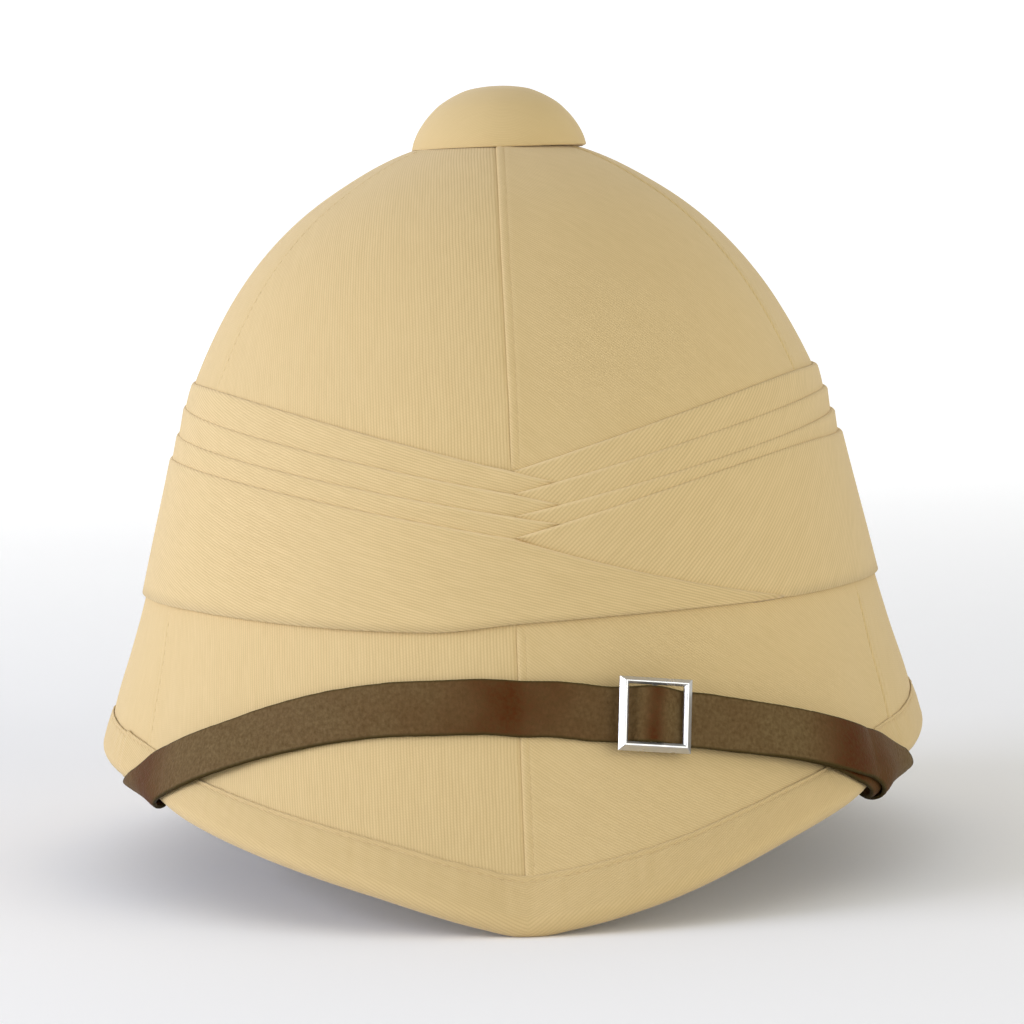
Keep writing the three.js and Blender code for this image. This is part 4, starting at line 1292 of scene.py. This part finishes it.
leather_axes = leather_tree.nodes.new("ShaderNodeSeparateXYZ")
leather_tree.links.new(leather_map.outputs["UV"], leather_axes.inputs[0])
leather_place = leather_tree.nodes.new("ShaderNodeTexCoord").outputs["Object"]
crease_place = leather_tree.nodes.new("ShaderNodeCombineXYZ")
for axis, creases_per_metre in (("X", CREASES_ALONG), ("Y", CREASES_ACROSS)):
    scaled = maths(leather_tree, "MULTIPLY", leather_axes.outputs[axis], creases_per_metre)
    leather_tree.links.new(scaled, crease_place.inputs[axis])
creases = noise(leather_tree, crease_place.outputs[0], 1.0, 4.0)
pebbles = leather_tree.nodes.new("ShaderNodeTexVoronoi")
pebbles.inputs["Scale"].default_value = PEBBLE_SCALE
leather_tree.links.new(leather_place, pebbles.inputs["Vector"])
worn_patches = noise(leather_tree, leather_place, WORN_PATCH_SCALE, 4.0)
fine_grain = noise(leather_tree, leather_place, FINE_GRAIN_SCALE, 3.0)
# Darker, redder places: handling wear at the front, painted shade over the buckle's bar, and both at the rim
# turns
worn_and_shaded = leather_tree.nodes.new("ShaderNodeAttribute")
worn_and_shaded.attribute_name = "worn_and_shaded"
patchy = maths(leather_tree, "MULTIPLY_ADD", worn_patches, WORN_PATCH_GAIN, -WORN_PATCH_START)
reddened = maths(leather_tree, "ADD", worn_and_shaded.outputs["Fac"], patchy)
reddened = maths(leather_tree, "MINIMUM", maths(leather_tree, "MAXIMUM", reddened, 0.0), 1.0)
hide_colour = mixed(leather_tree, reddened, LEATHER_OLIVE, LEATHER_RED)
crease_share = share_between(leather_tree, creases, *CREASE_REACH, CREASE_SHARE)
hide_colour = mixed(leather_tree, crease_share, hide_colour, LEATHER_CREASE)
speckle = maths(leather_tree, "SUBTRACT", fine_grain, FINE_GRAIN_START)
speckle = maths(leather_tree, "MULTIPLY", speckle, FINE_GRAIN_GAIN)
hide_colour = mixed(leather_tree, speckle, hide_colour, LEATHER_SPECKLE)
from_middle = maths(leather_tree, "ABSOLUTE", leather_axes.outputs["Y"])
edge_start, edge_end = (STRAP_WIDTH / 2 * MM - inset for inset in LEATHER_EDGE_REACH)
edge_share = share_between(leather_tree, from_middle, edge_start, edge_end)
hide_colour = mixed(leather_tree, edge_share, hide_colour, LEATHER_EDGE)
leather_tree.links.new(hide_colour, leather_shader.inputs["Base Color"])
grain_height = maths(leather_tree, "MULTIPLY_ADD", creases, -CREASE_DEPTH, pebbles.outputs["Distance"])
emboss(leather_tree, leather_shader, grain_height, LEATHER_RELIEF, LEATHER_GRAIN_DEPTH)
dulled = maths(leather_tree, "MULTIPLY_ADD", creases, CREASE_ROUGHNESS, LEATHER_ROUGHNESS)
leather_tree.links.new(dulled, leather_shader.inputs["Roughness"])
leather_shader.inputs["Specular IOR Level"].default_value = 0.04


def leather_ribbon(name, start, end, lift_at, shift_at, spread_at, seed):
    """Strap along its line, lifted, shifted and spread by functions of distance, its edges a bit uneven."""
    distances = np.linspace(start, end, round((end - start) / STRAP_STEP))
    place = strap_place(distances)
    half = STRAP_WIDTH / 2
    right = np.stack([half - STRAP_EDGE[:, 0], STRAP_EDGE[:, 1] * STRAP_LEATHER], axis=-1)
    face = np.linspace(half - STRAP_FACE_IN, -half + STRAP_FACE_IN, STRAP_FACE_POINTS)
    face_share = STRAP_FACE_SWELL + STRAP_FACE_CROWN * np.cos(math.pi * face / STRAP_WIDTH)
    top = np.stack([face, STRAP_LEATHER * face_share], axis=-1)
    left = right[::-1] * (-1, 1)
    back = np.linspace(-half + STRAP_BACK_IN, half - STRAP_BACK_IN, STRAP_BACK_POINTS)
    under = np.stack([back, np.zeros(STRAP_BACK_POINTS)], axis=-1)
    section = np.concatenate([right, top, left, under])
    wobble = np.random.default_rng(seed).normal(0, 1, (2, len(distances)))
    blur = np.hanning(STRAP_WOBBLE_POINTS) / 4.0
    wobble = np.array([np.convolve(line, blur, "same") for line in wobble]) * STRAP_WOBBLE
    side = section[:, 0] / half
    uneven = np.where(side > 0, wobble[0][:, None], wobble[1][:, None]) * side ** 4
    uneven = uneven + spread_at(distances)[:, None] * side
    sides = section[None, :, 0] + uneven + shift_at(distances)[:, None]
    levels = STRAP_SEAT + lift_at(distances)[:, None] + section[None, :, 1]
    offsets, lifts = tilted(sides, levels, place.tilt[:, None])
    azimuths = place.azimuth[:, None] + place.across_azimuth[:, None] * offsets
    alongs = place.along[:, None] + place.across_along[:, None] * offsets
    points = on_wall(azimuths, alongs, binding_lift(azimuths, alongs) + lifts, STRAP_TURN)
    quads, row, column = grid_faces(*points.shape[:2], wrap_columns=True)
    section_round = np.concatenate([section, section[:1]])
    corner_map = np.stack([distances[row], section_round[column, 0]], axis=-1)
    caps = end_caps(len(distances), len(section))
    piece = add_piece(name, points, quads, corner_map, [strap_leather], caps)
    degrees = np.degrees(place.azimuth)
    # Share of the darker, redder places along the strap: handling wear, and painted shade at the buckle's bar
    # and the rim turns
    shares = [share * np.exp(-((degrees - middle) / reach) ** 2) for middle, reach, share in STRAP_WORN_AND_SHADED]
    worn_and_shaded_share = np.repeat(np.max(shares, axis=0), len(section))
    piece.data.attributes.new("worn_and_shaded", "FLOAT", "POINT").data.foreach_set("value", worn_and_shaded_share)
    return piece


strap_top = leather_ribbon("strap_top", 0.0, strap_length, strap_lift, strap_shift, strap_spread, seed=3)
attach(strap_top, "root")
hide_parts("chin_strap")
layer_start = buckle_distance + LAYER_START
strap_under = leather_ribbon(
    "strap_under", layer_start, strap_length, np.zeros_like, layer_shift, np.zeros_like, seed=5
)
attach(strap_under, "root")
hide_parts("buckle_strap")

# Slide buckle: a square frame of nickel-plated brass with bevelled, mitred bars and a round centre bar.
# The strap goes under its sides and over the centre bar.
BUCKLE_WIDTH = 20.2
BUCKLE_HEIGHT = 19.8
BUCKLE_RAISE = 0.5
BUCKLE_TURN = math.radians(2.4)
BUCKLE_SIDE_BAR = 2.4
BUCKLE_LOW_BAR = 2.5
BUCKLE_HIGH_BAR = 1.9
BUCKLE_PIN_RADIUS = 0.8
BUCKLE_PIN_LEVEL = 3.4
BUCKLE_PIN_SIDES = 24
BUCKLE_EDGE_BEVEL = 0.12
BUCKLE_BEVEL_STEPS = 3

# Section of a bar: share of its width in from the outside, level over the wall
BUCKLE_BAR = np.array([
    (0.0, 3.9),
    (0.0, 4.4),
    (0.56, 5.8),
    (0.74, 5.8),
    (1.0, 5.1),
    (1.0, 3.9),
])

# Wear of plated metal: fine scratches and dull patches
SCRATCH_SCALE = 900.0
SCRATCH_TURN = (0.3, 0.7, 0.5)
SCRATCH_STRETCH = (1.0, 0.06, 1.0)
SCRATCH_RELIEF = 0.12
SCRATCH_DEPTH = 0.00005
DULL_SCALE = 260.0
DULL_ROUGHNESS = 0.2
wear, wear_in, wear_out = new_group("plate_wear", [("Scale", SCRATCH_SCALE)], ["Dull", "Scratch"])
wear_place = wear.nodes.new("ShaderNodeTexCoord").outputs["Object"]
stretched = wear.nodes.new("ShaderNodeMapping")
stretched.inputs["Rotation"].default_value = SCRATCH_TURN
stretched.inputs["Scale"].default_value = SCRATCH_STRETCH
wear.links.new(wear_place, stretched.inputs["Vector"])
scratches = wear.nodes.new("ShaderNodeTexNoise")
scratches.inputs["Detail"].default_value = 2.0
wear.links.new(stretched.outputs[0], scratches.inputs["Vector"])
wear.links.new(wear_in.outputs["Scale"], scratches.inputs["Scale"])
wear.links.new(scratches.outputs["Fac"], wear_out.inputs["Scratch"])
wear.links.new(noise(wear, wear_place, DULL_SCALE, 4.0), wear_out.inputs["Dull"])


def plated(name, bright, dull, roughness, metallic):
    """Worn plated metal."""
    material, tree, shader = new_material(name)
    worn = place_group(tree, wear)
    tree.links.new(mixed(tree, worn.outputs["Dull"], bright, dull), shader.inputs["Base Color"])
    dulled = maths(tree, "MULTIPLY_ADD", worn.outputs["Dull"], DULL_ROUGHNESS, roughness)
    tree.links.new(dulled, shader.inputs["Roughness"])
    emboss(tree, shader, worn.outputs["Scratch"], SCRATCH_RELIEF, SCRATCH_DEPTH)
    shader.inputs["Metallic"].default_value = metallic
    return material


buckle_nickel = plated(
    "buckle_nickel", bright=(0.68, 0.68, 0.66), dull=(0.49, 0.495, 0.49), roughness=0.2, metallic=0.85
)
buckle_place = strap_place(buckle_distance)


def on_buckle(x, y, level):
    """Point of the buckle: turned a little on the strap and tilted with it."""
    ahead = x * math.cos(BUCKLE_TURN) - y * math.sin(BUCKLE_TURN)
    side = x * math.sin(BUCKLE_TURN) + y * math.cos(BUCKLE_TURN) + BUCKLE_RAISE
    offset, lift = tilted(side, level, buckle_place.tilt)
    place = buckle_place.origin + buckle_place.ahead * ahead[..., None]
    return place + buckle_place.across * offset[..., None] + buckle_place.out * lift[..., None]


corner_signs = np.array([(-1, -1), (1, -1), (1, 1), (-1, 1)])
frame_x = corner_signs[:, :1] * (BUCKLE_WIDTH / 2 - BUCKLE_SIDE_BAR * BUCKLE_BAR[None, :, 0])
end_bars = np.where(corner_signs[:, 1:] > 0, BUCKLE_HIGH_BAR, BUCKLE_LOW_BAR)
frame_y = corner_signs[:, 1:] * (BUCKLE_HEIGHT / 2 - end_bars * BUCKLE_BAR[None, :, 0])
frame_points = on_buckle(frame_x, frame_y, BUCKLE_BAR[None, :, 1])
frame_quads, _, _ = grid_faces(len(corner_signs), len(BUCKLE_BAR), True, True)
pin_angles = np.arange(BUCKLE_PIN_SIDES) * 2 * math.pi / BUCKLE_PIN_SIDES
pin_x = np.broadcast_to(BUCKLE_PIN_RADIUS * np.cos(pin_angles), (2, BUCKLE_PIN_SIDES))
pin_y = np.array([[-1], [1]]) * np.full((1, BUCKLE_PIN_SIDES), (BUCKLE_HEIGHT - BUCKLE_HIGH_BAR) / 2)
pin_points = on_buckle(pin_x, pin_y, BUCKLE_PIN_LEVEL + BUCKLE_PIN_RADIUS * np.sin(pin_angles)[None, :])
pin_quads, _, _ = grid_faces(2, BUCKLE_PIN_SIDES, wrap_columns=True)
slide_buckle = add_piece("slide_buckle", frame_points, frame_quads, None, [buckle_nickel])
slide_buckle.data.polygons.foreach_set("use_smooth", np.zeros(len(slide_buckle.data.polygons), bool))
rounded = slide_buckle.modifiers.new("rounded_edges", "BEVEL")
rounded.width = BUCKLE_EDGE_BEVEL * MM
rounded.segments = BUCKLE_BEVEL_STEPS
rounded.harden_normals = True
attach(slide_buckle, "root")
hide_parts("strap_buckle")
pin_caps = end_caps(2, BUCKLE_PIN_SIDES)
buckle_bar = add_piece("buckle_bar", pin_points, pin_quads, None, [buckle_nickel], pin_caps)
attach(buckle_bar, "root")
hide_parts("strap_buckle")

# Strap rivets: turned brass rivets with a low domed head, one through each end of the strap inside the brim.
# The shank goes through all the leather there and into the side wall, which holds it.
RIVET_INSET = 7.0
RIVET_SIDES = 48
RIVET_SHANK = 1.5
RIVET_DEPTH = 3.0
RIVET_SEAT = 0.45
RIVET_POINT = 0.2

# Head: radius, height over the leather
RIVET_HEAD = np.array([
    (RIVET_SHANK, 0.0),
    (4.2, 0.0),
    (4.5, 0.15),
    (4.5, 0.55),
    (4.3, 0.8),
    (3.8, 1.08),
    (3.0, 1.36),
    (2.0, 1.56),
    (1.0, 1.67),
    (RIVET_POINT, 1.7),
])

stud_brass = plated(
    "stud_brass", bright=(0.62, 0.44, 0.18), dull=(0.36, 0.25, 0.11), roughness=0.25, metallic=1.0
)
rivet_ends = [
    ("strap_rivet_right", "strap_stud_right", RIVET_INSET, STRAP_LEATHER),
    ("strap_rivet_left", "strap_stud_left", strap_length - RIVET_INSET, STRAP_LEATHER + layer_step),
]
for name, node, distance, leather in rivet_ends:
    place = strap_place(distance)
    axes = np.stack([place.ahead, place.across, place.out])
    under = STRAP_SEAT + STRAP_INSIDE_LIFT + leather + RIVET_SEAT
    shank = np.array([(RIVET_POINT, -RIVET_DEPTH), (RIVET_SHANK, -RIVET_DEPTH)])
    profile = np.concatenate([shank, RIVET_HEAD + (0, under)])
    angles = np.arange(RIVET_SIDES) * 2 * math.pi / RIVET_SIDES
    local = np.stack([
        profile[:, :1] * np.cos(angles),
        profile[:, :1] * np.sin(angles),
        np.broadcast_to(profile[:, 1:], (len(profile), RIVET_SIDES)),
    ], axis=-1)
    rivet_points = local @ axes + place.origin
    quads, _, _ = grid_faces(len(profile), RIVET_SIDES, wrap_columns=True)
    rivet = add_piece(name, rivet_points, quads, None, [stud_brass], end_caps(len(profile), RIVET_SIDES))
    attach(rivet, "root")
    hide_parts(node)

# Studio: a sheet of pale paper that sweeps up behind the helmet, lit by one large soft light on the left of
# the picture and a weaker one on its right, within a white surround. The paper glows a little towards the
# back, so that the background stays white.
SWEEP_FRONT = -3.0
SWEEP_BACK = 1.6
SWEEP_RADIUS = 1.2
SWEEP_TOP = 3.2
SWEEP_HALF_WIDTH = 3.5
SWEEP_BEND_POINTS = 25
PAPER_DARK = (0.9, 0.9, 0.9)
PAPER_PALE = (0.93, 0.93, 0.925)
PAPER_GLOW = (0.3, 0.3, 0.3)
PAPER_GLOW_REACH = (0.3, 1.6)

sweep_arc = np.radians(np.linspace(0, 90, SWEEP_BEND_POINTS))
sweep_bend_y = SWEEP_BACK + SWEEP_RADIUS * np.sin(sweep_arc)
sweep_bend_z = SWEEP_RADIUS * (1 - np.cos(sweep_arc))
sweep_line = np.concatenate([
    [(SWEEP_FRONT, 0.0)],
    np.stack([sweep_bend_y, sweep_bend_z], axis=-1),
    [(SWEEP_BACK + SWEEP_RADIUS, SWEEP_TOP)],
])
sweep_mesh = bpy.data.meshes.new("studio_sweep")
sweep_points = [(side * SWEEP_HALF_WIDTH, y, z) for y, z in sweep_line for side in (-1, 1)]
sweep_faces = [(2 * i, 2 * i + 1, 2 * i + 3, 2 * i + 2) for i in range(len(sweep_line) - 1)]
sweep_mesh.from_pydata(sweep_points, [], sweep_faces)
sweep_mesh.polygons.foreach_set("use_smooth", np.ones(len(sweep_faces), bool))
sweep_paper, sweep_tree, sweep_shader = new_material("sweep_paper")
sweep_place = sweep_tree.nodes.new("ShaderNodeTexCoord").outputs["Object"]
paper_colour = mixed(sweep_tree, noise(sweep_tree, sweep_place, 3.0), PAPER_DARK, PAPER_PALE)
sweep_tree.links.new(paper_colour, sweep_shader.inputs["Base Color"])
sweep_axes = sweep_tree.nodes.new("ShaderNodeSeparateXYZ")
sweep_tree.links.new(sweep_place, sweep_axes.inputs[0])
sweep_glow = share_between(sweep_tree, sweep_axes.outputs["Y"], *PAPER_GLOW_REACH)
glow_colour = mixed(sweep_tree, sweep_glow, (0.0, 0.0, 0.0), PAPER_GLOW)
sweep_tree.links.new(glow_colour, sweep_shader.inputs["Emission Color"])
sweep_shader.inputs["Emission Strength"].default_value = 1.0
sweep_shader.inputs["Roughness"].default_value = 0.95
sweep_shader.inputs["Specular IOR Level"].default_value = 0.1
sweep_mesh.materials.append(sweep_paper)
studio_sweep = bpy.data.objects.new("studio_sweep", sweep_mesh)
bpy.context.collection.objects.link(studio_sweep)

# Lights: name, place, power, size, colour
LIGHTS = [
    ("key_light", (-1.65, -0.4, 0.45), 28.0, 1.3, (0.95, 0.98, 1.17)),
    ("fill_light", (1.25, -1.2, 0.3), 15.6, 1.4, (1.0, 0.98, 0.92)),
]
LIGHT_AIM = Vector((0.0, 0.0, 0.1))
for name, place, power, size, colour in LIGHTS:
    lamp = bpy.data.lights.new(name, "AREA")
    lamp.energy = power
    lamp.size = size
    lamp.color = colour
    lamp_object = bpy.data.objects.new(name, lamp)
    lamp_object.location = place
    lamp_object.rotation_mode = "QUATERNION"
    lamp_object.rotation_quaternion = (LIGHT_AIM - Vector(place)).to_track_quat("-Z", "Y")
    bpy.context.collection.objects.link(lamp_object)

# Surround: white, a little darker overhead than at the horizon
HORIZON = (0.76, 0.76, 0.75)
ZENITH = (0.52, 0.52, 0.51)
world = bpy.data.worlds.new("studio_surround")
world.use_nodes = True
sky = world.node_tree
sky_axes = sky.nodes.new("ShaderNodeSeparateXYZ")
sky.links.new(sky.nodes.new("ShaderNodeTexCoord").outputs["Generated"], sky_axes.inputs[0])
overhead = maths(sky, "MAXIMUM", sky_axes.outputs["Z"], 0.0)
sky.links.new(mixed(sky, overhead, HORIZON, ZENITH), sky.nodes["Background"].inputs["Color"])
bpy.context.scene.world = world
bpy.context.scene.view_settings.view_transform = "Standard"

# Camera: at the photograph's angle, a long lens a little above the brim, rolled slightly
CAMERA_PLACE = Vector((-0.0119, -1.2054, 0.1895))
CAMERA_TURN = math.radians(0.656)
CAMERA_FALL = math.radians(4.31)
CAMERA_ROLL = math.radians(-1.8)
CAMERA_LENS = 143.1
camera_data = bpy.data.cameras.new("camera")
camera_data.lens = CAMERA_LENS
camera_data.sensor_width = 36.0
camera_data.clip_start = 0.05
camera = bpy.data.objects.new("camera", camera_data)
camera.location = CAMERA_PLACE
view_line = Vector((
    math.sin(CAMERA_TURN) * math.cos(CAMERA_FALL),
    math.cos(CAMERA_TURN) * math.cos(CAMERA_FALL),
    -math.sin(CAMERA_FALL),
))
camera.rotation_mode = "QUATERNION"
camera.rotation_quaternion = view_line.to_track_quat("-Z", "Y") @ Quaternion((0.0, 0.0, 1.0), CAMERA_ROLL)
bpy.context.collection.objects.link(camera)
bpy.context.scene.camera = camera
